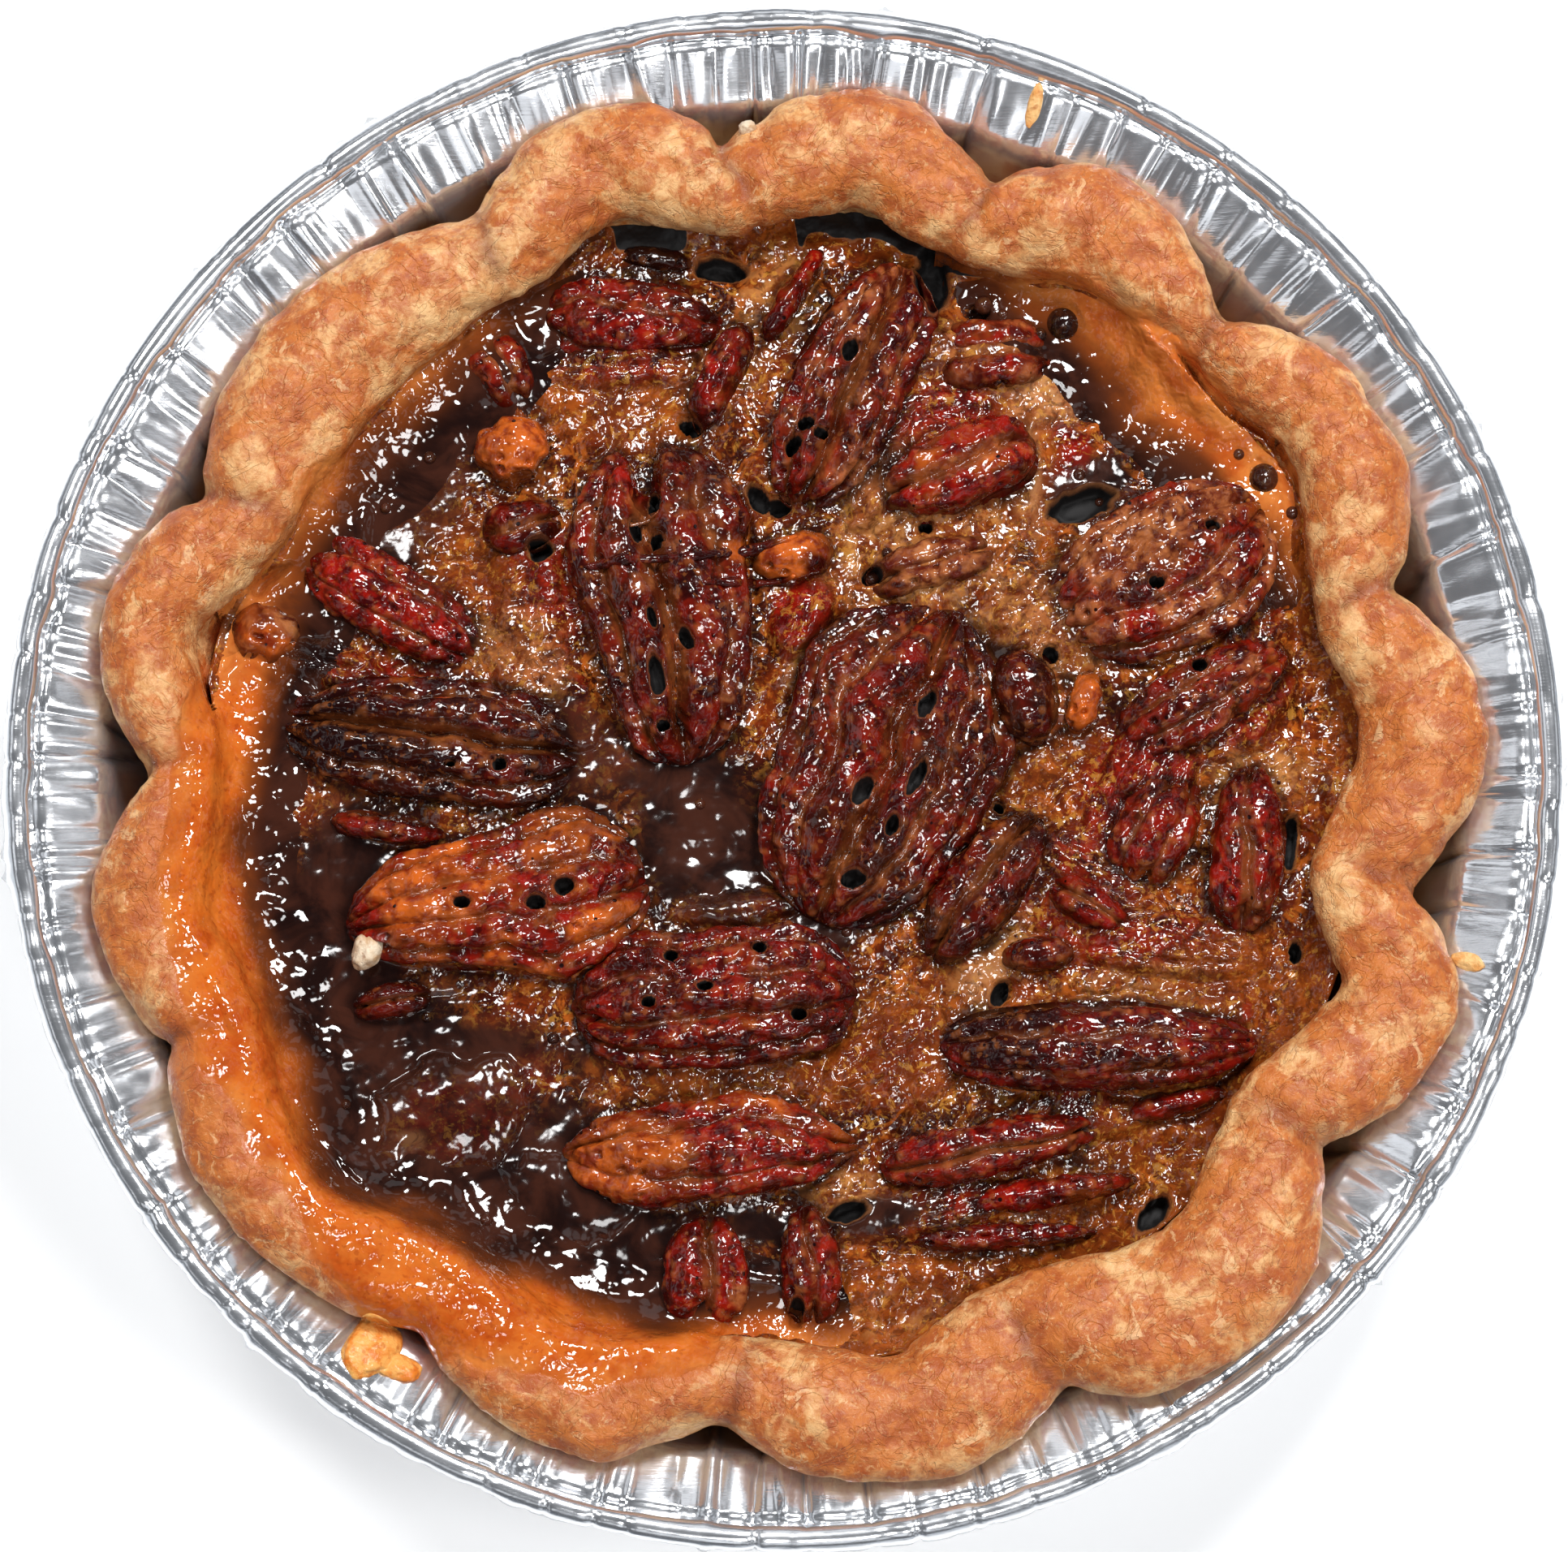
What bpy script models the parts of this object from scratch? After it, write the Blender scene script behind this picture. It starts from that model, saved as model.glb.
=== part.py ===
"""Pecan pie in its foil tin: tin, fluted pastry crust, set filling and the pecans sunk in it.

Metres, +Z up. The origin is the middle of the tin's flat underside, which stands on the table.
Sizes below are in millimetres and are scaled once, where a point is made.
"""

import math

import bmesh
import bpy
from mathutils import Euler, Matrix, Vector

MM = 0.001
GAP = 0.3
MERGE = 0.00001

# Foil tin: a standard 6 inch pie tin with a rolled bead.
TIN_FOIL = 0.4
TIN_OUTER_RADIUS = 79.4
TIN_BEAD_RADIUS = 1.4
TIN_BEAD_HEIGHT = 30.1
TIN_FLANGE_RADIUS = 75.3
TIN_FLANGE_HEIGHT = 29.6
TIN_KINK_RADIUS = 69.7
TIN_KINK_HEIGHT = 27.2
TIN_WALL_FOOT_RADIUS = 60.3
TIN_WALL_FOOT_HEIGHT = 1.8
TIN_BASE_RADIUS = 58.4
TIN_STEPS = 36
BEAD_START = -120
BEAD_END = 180
BEAD_STEP = 60

# Crust: a pastry shell whose rim is a rope of dough pushed into flutes.
CRUST_BOTTOM = TIN_FOIL + GAP
CRUST_FLOOR_TOP = 4.9
CRUST_FOOT_RADIUS = 57.4
CRUST_WALL_THICKNESS = 4.6
CRUST_WALL_TOP = 23.6
CRUST_WALL_MAX_RADIUS = 66.0
CRUST_FOOT_WALL = 59.2
CRUST_FOOT_WALL_HEIGHT = 2.6
FLOOR_CORNER = 0.6
ROPE_MIDDLE = 28.4
ROPE_HALF_HEIGHT = 4.8
ROPE_OVERHANG = 0.8
CRUST_STATIONS = 3
# The rope's section, from the outside over the top to the inside: how far in as a share of its
# width, and how far above its middle as a share of its half height.
ROPE_UNDERSIDE = (0.14, -0.62)
ROPE_UNDERSIDE_MAX_RADIUS = 68.6
ROPE_SECTION = (
    (0.10, 0.66),
    (0.36, 1.00),
    (0.66, 0.93),
    (0.92, 0.48),
    (1.00, -0.06),
    (0.88, -0.56),
)

# Each flute of the rope, counter-clockwise from +X: where its outward crest stands (degrees),
# the crest's outer and inner radius, how far it is lifted, then the same of the notch after it.
FLUTES = (
    (5, 72.0, 58.3, 0.0, 17, 66.0, 55.3),
    (32, 71.5, 60.3, 0.3, 46, 64.9, 57.0),
    (60, 69.4, 57.0, 0.6, 71, 64.4, 54.3),
    (83, 70.5, 57.9, 0.4, 95, 65.3, 54.0),
    (106, 70.5, 58.7, 0.2, 119, 65.3, 54.6),
    (140, 69.8, 54.4, 0.3, 154, 65.9, 55.0),
    (166, 71.3, 62.0, 0.0, 180, 65.2, 56.6),
    (193, 72.0, 59.8, 0.2, 205, 69.0, 57.4),
    (220, 73.0, 62.8, 0.6, 236, 68.4, 57.0),
    (250, 72.6, 59.3, 0.5, 265, 66.8, 56.2),
    (281, 73.6, 59.3, 0.9, 293, 70.0, 55.0),
    (310, 75.4, 60.1, 2.9, 325, 67.7, 55.0),
    (339, 73.2, 60.3, 0.6, 350, 66.4, 53.5),
)

# Filling: a set custard with pools of syrup and mounds under the nuts.
FILLING_LEVEL = 26.0
FILLING_EDGE_LEVEL = 24.6
FILLING_SINK_START = 44.0
FILLING_SINK_END = 55.0
FILLING_BRIM = 23.2
FILLING_BRIM_ROUND = 1.2
FILLING_STATIONS = 1
FILLING_RINGS = (0.22, 0.42, 0.62, 0.80, 0.96)
# Middle of each rise or pool, its reach and its height.
SWELLS = (
    (-38.0, -33.0, 16.0, -1.5),
    (-2.0, -7.0, 9.0, -1.2),
    (-43.0, 30.0, 10.0, -1.2),
    (34.0, 12.0, 20.0, 1.3),
    (8.0, 38.0, 14.0, 1.0),
    (-12.0, 18.0, 14.0, 0.8),
    (26.0, -34.0, 18.0, 0.8),
    (-22.0, -8.0, 14.0, 0.7),
    (31.0, 33.0, 6.0, -1.2),
)

# Pecans: whole halves, and shorter pieces with fewer faces.
PECAN_SIDES = 8
PECAN_RINGS = 6
PIECE_LENGTH = 20.5
PIECE_SIDES = 6
PIECE_RINGS = 5
PECAN_GROOVE = 0.28
GROOVE_REACH = 0.62
PECAN_TAPER = 0.14
PECAN_FULLNESS = 0.35
PECAN_FLAT = 0.42

# Each pecan: x, y, heading in degrees, length, width, height, roll in degrees, depth sunk.
PECANS = (
    (-15.7, 48.0, -4, 19.0, 9.6, 7.0, 10, 3.6),
    (-13.4, 54.6, -8, 8.0, 2.6, 3.4, 0, 2.4),
    (-29.0, 42.6, -58, 9.0, 6.5, 6.0, 0, 3.0),
    (-5.6, 41.6, 66, 12.6, 4.6, 6.0, -20, 3.2),
    (0.8, 50.2, 58, 12.0, 3.0, 6.0, 0, 3.2),
    (6.4, 40.8, 66, 28.0, 12.0, 8.4, 6, 3.8),
    (21.6, 43.4, 5, 12.6, 8.6, 6.4, -8, 3.6),
    (18.0, 31.4, 24, 17.4, 8.2, 7.6, -10, 3.4),
    (15.2, 21.9, 16, 14.0, 6.0, 6.2, 0, 3.4),
    (-28.0, 34.0, 40, 8.6, 7.4, 6.6, 0, 2.8),
    (-26.8, 26.2, 10, 8.6, 5.6, 5.6, 0, 2.8),
    (-12.6, 18.2, 278, 34.0, 18.0, 9.0, 0, 3.8),
    (0.9, 22.8, 12, 9.0, 5.4, 6.0, 0, 3.1),
    (-40.4, 17.6, -31, 21.0, 8.8, 7.2, -8, 3.4),
    (-53.0, 15.2, -20, 8.0, 7.0, 5.6, 0, 3.0),
    (-36.0, 4.2, -7, 31.5, 13.0, 8.4, 0, 3.8),
    (-40.2, -4.3, -8, 13.0, 3.2, 6.0, 15, 3.2),
    (-29.2, -12.9, 190, 31.5, 14.2, 9.0, 4, 3.8),
    (-39.8, -22.8, 10, 8.6, 4.2, 5.4, 0, 2.8),
    (10.8, 1.8, 66, 34.0, 19.6, 9.6, 0, 3.8),
    (25.3, 8.4, -75, 11.0, 4.8, 7.2, 10, 3.0),
    (20.2, -12.4, 53, 17.0, 7.4, 7.6, -9, 3.4),
    (38.6, 21.6, 33, 25.0, 15.6, 8.6, 0, 3.8),
    (30.6, 7.5, 70, 6.8, 4.2, 5.8, 0, 2.6),
    (42.8, 8.2, 30, 20.0, 8.4, 7.8, 0, 3.6),
    (37.4, -4.9, 62, 13.0, 8.6, 8.0, 8, 3.6),
    (31.2, -13.2, -30, 9.6, 4.8, 6.0, 0, 3.0),
    (26.0, -18.2, 6, 8.0, 4.2, 5.4, 0, 3.0),
    (47.1, -7.2, 86, 17.8, 8.2, 7.8, 0, 3.4),
    (-7.0, -22.6, 3, 29.0, 14.4, 8.8, 0, 3.8),
    (-7.4, -38.2, 2, 31.0, 11.0, 8.6, 0, 3.6),
    (-8.0, -50.4, 84, 12.0, 9.6, 7.0, 0, 3.0),
    (2.6, -49.8, 94, 12.2, 7.0, 6.6, 0, 3.2),
    (31.8, -26.9, 1, 32.6, 9.0, 9.2, 14, 3.0),
    (39.4, -33.4, 14, 12.0, 3.2, 4.8, 0, 2.6),
    (21.0, -37.3, 12, 23.0, 6.2, 7.6, 10, 3.2),
    (26.4, -42.4, 9, 19.0, 3.6, 6.0, 0, 3.0),
    (22.0, -46.8, 3, 20.0, 3.2, 5.4, 0, 2.8),
)

COLOURS = {
    "foil_tin": ((0.80, 0.81, 0.84), 0.25, 1.0),
    "pastry_crust": ((0.62, 0.33, 0.12), 0.55, 0.0),
    "filling": ((0.16, 0.055, 0.014), 0.12, 0.0),
    "pecan": ((0.20, 0.038, 0.014), 0.22, 0.0),
}


def clear_scene():
    for item in list(bpy.data.objects):
        bpy.data.objects.remove(item, do_unlink=True)


def new_collection(name):
    collection = bpy.data.collections.new(name)
    bpy.context.scene.collection.children.link(collection)
    return collection


def material(name):
    colour, roughness, metallic = COLOURS[name]
    made = bpy.data.materials.new(name)
    made.use_nodes = True
    shader = made.node_tree.nodes["Principled BSDF"]
    shader.inputs["Base Color"].default_value = (*colour, 1.0)
    shader.inputs["Roughness"].default_value = roughness
    shader.inputs["Metallic"].default_value = metallic
    return made


def add_object(name, mesh, collection, look):
    made = bpy.data.objects.new(name, mesh)
    made.data.materials.append(look)
    collection.objects.link(made)
    return made


def finish_mesh(bm, name):
    mesh = bpy.data.meshes.new(name)
    bm.to_mesh(mesh)
    bm.free()
    mesh.shade_smooth()
    mesh.set_sharp_from_angle(angle=math.radians(50))
    return mesh


def polar(angle, radius, height):
    turn = math.radians(angle)
    return Vector((radius * math.cos(turn), radius * math.sin(turn), height)) * MM


# ---------------------------------------------------------------- foil tin


def bead_points():
    """The rolled edge: from its free end below, round the outside and over to the flange."""
    middle = TIN_OUTER_RADIUS - TIN_BEAD_RADIUS
    roll = TIN_BEAD_RADIUS - TIN_FOIL / math.cos(math.radians(0.5 * BEAD_STEP))
    points = []
    for angle in range(BEAD_START, BEAD_END + 1, BEAD_STEP):
        turn = math.radians(angle)
        points.append((middle + roll * math.cos(turn), TIN_BEAD_HEIGHT + roll * math.sin(turn)))
    return points


def tin_profile():
    """Outer side of the foil as (radius, height), from the bead down to the middle of the base."""
    return bead_points() + [
        (TIN_FLANGE_RADIUS, TIN_FLANGE_HEIGHT),
        (TIN_KINK_RADIUS, TIN_KINK_HEIGHT),
        (TIN_WALL_FOOT_RADIUS, TIN_WALL_FOOT_HEIGHT),
        (TIN_BASE_RADIUS, 0.0),
        (0.0, 0.0),
    ]


def make_tin(collection, look):
    mesh = bpy.data.meshes.new("foil_tin")
    points = [Vector((radius, 0.0, height)) * MM for radius, height in tin_profile()]
    edges = [(i, i + 1) for i in range(len(points) - 1)]
    mesh.from_pydata(points, edges, [])
    tin = add_object("foil_tin", mesh, collection, look)
    screw = tin.modifiers.new("turn", "SCREW")
    screw.axis = "Z"
    screw.steps = TIN_STEPS
    screw.render_steps = TIN_STEPS
    screw.use_merge_vertices = True
    screw.merge_threshold = MERGE
    foil = tin.modifiers.new("foil", "SOLIDIFY")
    foil.thickness = TIN_FOIL * MM
    foil.offset = -1.0
    foil.use_even_offset = True
    return tin


# ---------------------------------------------------------------- polar solids


def polar_solid(name, angles, profile, low_pole, high_pole):
    """Closes rings of (radius, height), which climb outside and come back inside, at two poles."""
    bm = bmesh.new()
    rings = []
    for angle in angles:
        rings.append([bm.verts.new(polar(angle, r, z)) for r, z in profile(angle)])
    low = bm.verts.new((0.0, 0.0, low_pole * MM))
    high = bm.verts.new((0.0, 0.0, high_pole * MM))
    for here, after in zip(rings, rings[1:] + rings[:1]):
        bm.faces.new((low, after[0], here[0]))
        bm.faces.new((high, here[-1], after[-1]))
        for k in range(len(here) - 1):
            bm.faces.new((here[k], after[k], after[k + 1], here[k + 1]))
    bmesh.ops.triangulate(bm, faces=bm.faces[:])
    return finish_mesh(bm, name)


# ---------------------------------------------------------------- crust


def flute_knots():
    """Crests and notches in turn: angle, outer radius, inner radius, lift, and which it is."""
    knots = []
    for i, flute in enumerate(FLUTES):
        crest, outer, inner, lift, notch, notch_outer, notch_inner = flute
        next_lift = FLUTES[(i + 1) % len(FLUTES)][3]
        knots.append((crest, outer, inner, lift, True))
        knots.append((notch, notch_outer, notch_inner, 0.5 * (lift + next_lift), False))
    return knots


def rim_at(angle):
    """Outer radius, inner radius and lift of the rope at an angle.

    The outer edge swells quickly out of a notch and rounds over the crest. The inner edge
    bulges round behind each notch and is pinched behind each crest.
    """
    knots = flute_knots()
    turn = (angle - knots[0][0]) % 360.0
    for here, after in zip(knots, knots[1:] + knots[:1]):
        start = (here[0] - knots[0][0]) % 360.0
        span = (after[0] - here[0]) % 360.0
        if start <= turn < start + span:
            break
    along = (turn - start) / span
    crest, notch = (here, after) if here[4] else (after, here)
    share = 1.0 - along if here[4] else along
    swell = math.sin(0.5 * math.pi * share)
    pinch = 1.0 - math.cos(0.5 * math.pi * share)
    outer = notch[1] + (crest[1] - notch[1]) * swell
    inner = notch[2] + (crest[2] - notch[2]) * pinch
    lift = notch[3] + (crest[3] - notch[3]) * swell
    return outer, inner, lift


def rim_angles(stations):
    """Angles round the rim: so many in each half flute, from every crest and notch on."""
    knots = flute_knots()
    angles = []
    for here, after in zip(knots, knots[1:] + knots[:1]):
        span = (after[0] - here[0]) % 360.0
        angles.extend(here[0] + span * step / stations for step in range(stations))
    return angles


def flare_height(radius):
    """Lowest the rope may reach over the tin's flared wall, clear of the foil."""
    run = TIN_FLANGE_RADIUS - TIN_KINK_RADIUS
    slope = (TIN_FLANGE_HEIGHT - TIN_KINK_HEIGHT) / run
    along = min(radius - TIN_KINK_RADIUS, run)
    return TIN_KINK_HEIGHT + slope * along + TIN_FOIL + 3 * GAP


def wall_radius(outer):
    return min(outer - ROPE_OVERHANG, CRUST_WALL_MAX_RADIUS)


def rope_point(outer, inner, middle, across, up):
    """A point of the rope's section: its share of the width and of the half height."""
    return outer - across * (outer - inner), middle + up * ROPE_HALF_HEIGHT


def crust_profile(angle):
    """Section of the crust: up the outside of its wall, over the rope and down its inside."""
    outer, inner, lift = rim_at(angle)
    middle = ROPE_MIDDLE + lift
    wall = wall_radius(outer)
    under, under_height = rope_point(outer, inner, middle, *ROPE_UNDERSIDE)
    under = max(min(under, ROPE_UNDERSIDE_MAX_RADIUS), wall)
    inner_foot = CRUST_FOOT_WALL - CRUST_WALL_THICKNESS
    return [
        (CRUST_FOOT_RADIUS, CRUST_BOTTOM),
        (CRUST_FOOT_WALL, CRUST_FOOT_WALL_HEIGHT),
        (wall, CRUST_WALL_TOP),
        (under, max(under_height, flare_height(under))),
        (outer, max(middle, flare_height(outer))),
        *(rope_point(outer, inner, middle, across, up) for across, up in ROPE_SECTION),
        (wall - CRUST_WALL_THICKNESS, CRUST_WALL_TOP),
        (inner_foot - FLOOR_CORNER, CRUST_FLOOR_TOP),
    ]


def make_crust(collection, look):
    angles = rim_angles(CRUST_STATIONS)
    mesh = polar_solid("pastry_crust", angles, crust_profile, CRUST_BOTTOM, CRUST_FLOOR_TOP)
    return add_object("pastry_crust", mesh, collection, look)


# ---------------------------------------------------------------- filling


def filling_top(x, y):
    """Height of the filling's surface at a point, sinking under the rope at the edge."""
    height = FILLING_LEVEL
    for middle_x, middle_y, reach, rise in SWELLS:
        away = ((x - middle_x) ** 2 + (y - middle_y) ** 2) / reach**2
        height += rise * math.exp(-away)
    edge = (math.hypot(x, y) - FILLING_SINK_START) / (FILLING_SINK_END - FILLING_SINK_START)
    edge = min(max(edge, 0.0), 1.0) ** 2
    return height + (FILLING_EDGE_LEVEL - height) * edge


def filling_profile(angle):
    """Section of the filling: up the inside of the crust's wall and in over its top."""
    outer, _, _ = rim_at(angle)
    turn = math.radians(angle)
    foot = CRUST_FOOT_WALL - CRUST_WALL_THICKNESS - FLOOR_CORNER - 2 * GAP
    wall = wall_radius(outer) - CRUST_WALL_THICKNESS - 3 * GAP
    points = [
        (foot, CRUST_FLOOR_TOP + GAP),
        (wall - 2 * GAP, FILLING_BRIM - FILLING_BRIM_ROUND),
        (wall - FILLING_BRIM_ROUND, FILLING_BRIM),
    ]
    for share in reversed(FILLING_RINGS):
        radius = share * (wall - 2 * FILLING_BRIM_ROUND)
        points.append((radius, filling_top(radius * math.cos(turn), radius * math.sin(turn))))
    return points


def make_filling(collection, look, cutters):
    angles = rim_angles(FILLING_STATIONS)
    low = CRUST_FLOOR_TOP + GAP
    mesh = polar_solid("filling", angles, filling_profile, low, filling_top(0.0, 0.0))
    filling = add_object("filling", mesh, collection, look)
    cut = filling.modifiers.new("pockets", "BOOLEAN")
    cut.operation = "DIFFERENCE"
    cut.solver = "EXACT"
    cut.operand_type = "COLLECTION"
    cut.collection = cutters
    return filling


# ---------------------------------------------------------------- pecans


def pecan_point(point, length, width, height):
    """Moves a point of a unit ball with its poles on X to a pecan half, flat side down.

    The half is narrower at one end, flattened below, and has a groove between two ridges.
    """
    along, across, up = point
    taper = (1.0 - PECAN_TAPER * along) * (1.0 + PECAN_FULLNESS * along * along)
    if up < 0.0:
        up *= PECAN_FLAT
    else:
        groove = 0.5 + 0.5 * math.cos(math.pi * min(abs(across) / GROOVE_REACH, 1.0))
        up *= 1.0 - PECAN_GROOVE * groove
    x = 0.5 * length * along
    y = 0.5 * width * across * taper
    z = height * (up + PECAN_FLAT) / (1.0 + PECAN_FLAT)
    return Vector((x, y, z)) * MM


def pecan_mesh(name, length, width, height, swell=0.0):
    whole = length > PIECE_LENGTH
    sides = PECAN_SIDES if whole else PIECE_SIDES
    rings = PECAN_RINGS if whole else PIECE_RINGS
    bm = bmesh.new()
    bmesh.ops.create_uvsphere(bm, u_segments=sides, v_segments=rings, radius=1.0)
    onto_x = Matrix.Rotation(math.radians(90), 3, "Y")
    for vert in bm.verts:
        vert.co = pecan_point(onto_x @ vert.co, length, width, height)
    bm.normal_update()
    moves = [(vert, vert.normal * swell * MM) for vert in bm.verts]
    for vert, move in moves:
        vert.co += move
    return finish_mesh(bm, name)


def pecan_place(x, y, heading, roll, sunk):
    place = Matrix.Translation(Vector((x, y, filling_top(x, y) - sunk)) * MM)
    turn = Euler((math.radians(roll), 0.0, math.radians(heading))).to_matrix().to_4x4()
    return place @ turn


def make_pecans(collection, look, cutters):
    for number, row in enumerate(PECANS, start=1):
        x, y, heading, length, width, height, roll, sunk = row
        name = f"pecan_{number:02d}"
        place = pecan_place(x, y, heading, roll, sunk)
        nut = add_object(name, pecan_mesh(name, length, width, height), collection, look)
        nut.matrix_world = place
        pocket_mesh = pecan_mesh(f"pocket_{number:02d}", length, width, height, swell=GAP)
        pocket = add_object(f"pocket_{number:02d}", pocket_mesh, cutters, look)
        pocket.matrix_world = place
        pocket.hide_render = True
        pocket.display_type = "WIRE"


def build():
    clear_scene()
    parts = new_collection("pecan_pie")
    cutters = new_collection("pie_pockets")
    make_tin(parts, material("foil_tin"))
    make_crust(parts, material("pastry_crust"))
    make_pecans(parts, material("pecan"), cutters)
    make_filling(parts, material("filling"), cutters)


build()
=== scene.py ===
"""Pecan pie in its foil tin: the finished surfaces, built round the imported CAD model.

Lengths in the tables are in millimetres and are scaled once, where a mesh is written.
"""

import itertools
import math

import bpy
import numpy as np
from mathutils import Euler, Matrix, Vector
from mathutils.bvhtree import BVHTree


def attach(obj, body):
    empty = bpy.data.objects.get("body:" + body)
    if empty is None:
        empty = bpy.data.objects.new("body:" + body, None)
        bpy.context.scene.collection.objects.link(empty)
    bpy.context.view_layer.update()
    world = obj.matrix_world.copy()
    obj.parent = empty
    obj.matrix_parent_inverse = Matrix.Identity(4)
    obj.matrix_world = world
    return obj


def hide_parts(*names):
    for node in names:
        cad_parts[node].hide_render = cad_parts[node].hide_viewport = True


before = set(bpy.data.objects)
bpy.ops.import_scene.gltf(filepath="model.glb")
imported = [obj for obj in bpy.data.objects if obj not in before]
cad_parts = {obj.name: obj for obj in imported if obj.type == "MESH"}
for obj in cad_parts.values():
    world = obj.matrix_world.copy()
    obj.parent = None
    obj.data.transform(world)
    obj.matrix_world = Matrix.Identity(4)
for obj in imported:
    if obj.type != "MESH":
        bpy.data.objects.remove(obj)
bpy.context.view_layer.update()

MM = 0.001
MERGE = 0.00001

# ---------------------------------------------------------------- tables

# The filling's level in its middle and at its edge, and where its fall to the edge starts and how
# far that runs, as in the CAD source.
FILLING_LEVEL = 26.0
FILLING_EDGE_LEVEL = 24.6
FILLING_FALL_START = 44.0
FILLING_FALL_WIDTH = 11.0

# Middle of each swell or pool of the filling, its reach and its height, as in the CAD source.
SWELLS = (
    (-38, -33, 16, -1.5), (-2, -7, 9, -1.2), (-43, 30, 10, -1.2), (34, 12, 20, 1.3),
    (8, 38, 14, 1), (-12, 18, 14, 0.8), (26, -34, 18, 0.8), (-22, -8, 14, 0.7), (31, 33, 6, -1.2),
)

# Each pecan as in the CAD source: x, y, heading, length, width, height, roll, depth sunk; then how
# many ridges it has, and how ruby, toasted, charred and foam-covered it is, from 0 to 1.
PECANS = (
    (-15.7, 48, -4, 19, 9.6, 7, 10, 3.6, 3, 0.75, 0.1, 0.1, 0.1),
    (-13.4, 54.6, -8, 8, 2.6, 3.4, 0, 2.4, 1, 0.2, 0, 0.8, 0),
    (-29, 42.6, -58, 9, 6.5, 6, 0, 3, 2, 0.5, 0.1, 0.2, 0.3),
    (-5.6, 41.6, 66, 12.6, 4.6, 6, -20, 3.2, 1, 0.75, 0, 0.2, 0.1),
    (0.8, 50.2, 58, 12, 3, 6, 0, 3.2, 1, 0.8, 0.1, 0.1, 0.1),
    (6.4, 40.8, 66, 28, 12, 8.4, 6, 3.8, 4, 0.4, 0.1, 0.2, 0.3),
    (21.6, 43.4, 5, 12.6, 8.6, 6.4, -8, 3.6, 2, 0.6, 0.2, 0, 0.4),
    (18, 31.4, 24, 17.4, 8.2, 7.6, -10, 3.4, 2, 1, 0.25, 0, 0),
    (15.2, 21.9, 16, 14, 6, 6.2, 0, 3.4, 2, 0.2, 0.2, 0, 0.8),
    (-28, 34, 40, 8.6, 7.4, 6.6, 0, 2.8, 1, 0.2, 0.9, 0, 0.1),
    (-26.8, 26.2, 10, 8.6, 5.6, 5.6, 0, 2.8, 2, 0.4, 0.1, 0.4, 0.2),
    (-12.6, 18.2, 278, 34, 18, 9, 0, 3.8, 4, 0.4, 0.05, 0.35, 0.2),
    (0.9, 22.8, 12, 9, 5.4, 6, 0, 3.1, 1, 0.5, 0.7, 0.2, 0),
    (-40.4, 17.6, -31, 21, 8.8, 7.2, -8, 3.4, 3, 0.8, 0.05, 0.15, 0.1),
    (-53, 15.2, -20, 8, 7, 5.6, 0, 3, 1, 0.3, 0.8, 0, 0.7),
    (-36, 4.2, -7, 31.5, 13, 8.4, 0, 3.8, 4, 0.3, 0.1, 0.7, 0.1),
    (-40.2, -4.3, -8, 13, 3.2, 6, 15, 3.2, 1, 0.7, 0, 0.4, 0.1),
    (-29.2, -12.9, 190, 31.5, 14.2, 9, 4, 3.8, 5, 0.6, 0.45, 0.1, 0.2),
    (-39.8, -22.8, 10, 8.6, 4.2, 5.4, 0, 2.8, 2, 0.3, 0.3, 0.6, 0),
    (10.5, 1.3, 66, 35.4, 19.6, 9.6, 0, 3.8, 6, 0.4, 0.05, 0.45, 0.1),
    (25.3, 8.4, -75, 11, 4.8, 7.2, 10, 3, 1, 0.6, 0, 0.8, 0),
    (20.8, -11.6, 53, 19, 7.4, 7.6, -9, 3.4, 2, 0.5, 0.1, 0.6, 0),
    (38.6, 21.6, 33, 25, 15.6, 8.6, 0, 3.8, 5, 0.5, 0.1, 0, 0.5),
    (30.6, 7.5, 70, 6.8, 4.2, 5.8, 0, 2.6, 1, 0, 0.9, 0, 0.3),
    (42.8, 8.2, 30, 20, 8.4, 7.8, 0, 3.6, 3, 0.45, 0.2, 0.1, 0.3),
    (37.4, -4.9, 62, 13, 8.6, 8, 8, 3.6, 3, 0.5, 0.35, 0.1, 0.1),
    (31.2, -13.2, -30, 9.6, 4.8, 6, 0, 3, 2, 0.8, 0.1, 0.1, 0.1),
    (26, -18.2, 6, 8, 4.2, 5.4, 0, 3, 1, 0.6, 0.1, 0.1, 0.3),
    (47.1, -7.2, 86, 17.8, 8.2, 7.8, 0, 3.4, 2, 0.85, 0.1, 0.1, 0.1),
    (-7, -22.6, 3, 29, 14.4, 8.8, 0, 3.8, 5, 0.6, 0.05, 0.2, 0.15),
    (-7.4, -38.2, 2, 31, 11, 8.6, 0, 3.6, 3, 0.6, 0.3, 0.05, 0.1),
    (-8, -50.4, 84, 12, 9.6, 7, 0, 3, 2, 0.95, 0.1, 0.15, 0),
    (2.6, -49.8, 94, 12.2, 7, 6.6, 0, 3.2, 2, 0.85, 0, 0.3, 0),
    (31.8, -26.9, 1, 32.6, 9, 9.2, 14, 3, 3, 0.6, 0.1, 0.5, 0),
    (39.4, -33.4, 14, 12, 3.2, 4.8, 0, 2.6, 1, 0.7, 0, 0.2, 0),
    (21, -37.3, 12, 23, 6.2, 7.6, 10, 3.2, 2, 0.9, 0.1, 0.1, 0.1),
    (26.4, -42.4, 9, 19, 3.6, 6, 0, 3, 1, 0.9, 0.1, 0.1, 0),
    (22, -46.8, 3, 20, 3.2, 5.4, 0, 2.8, 1, 0.8, 0.1, 0.2, 0.1),
)

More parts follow.
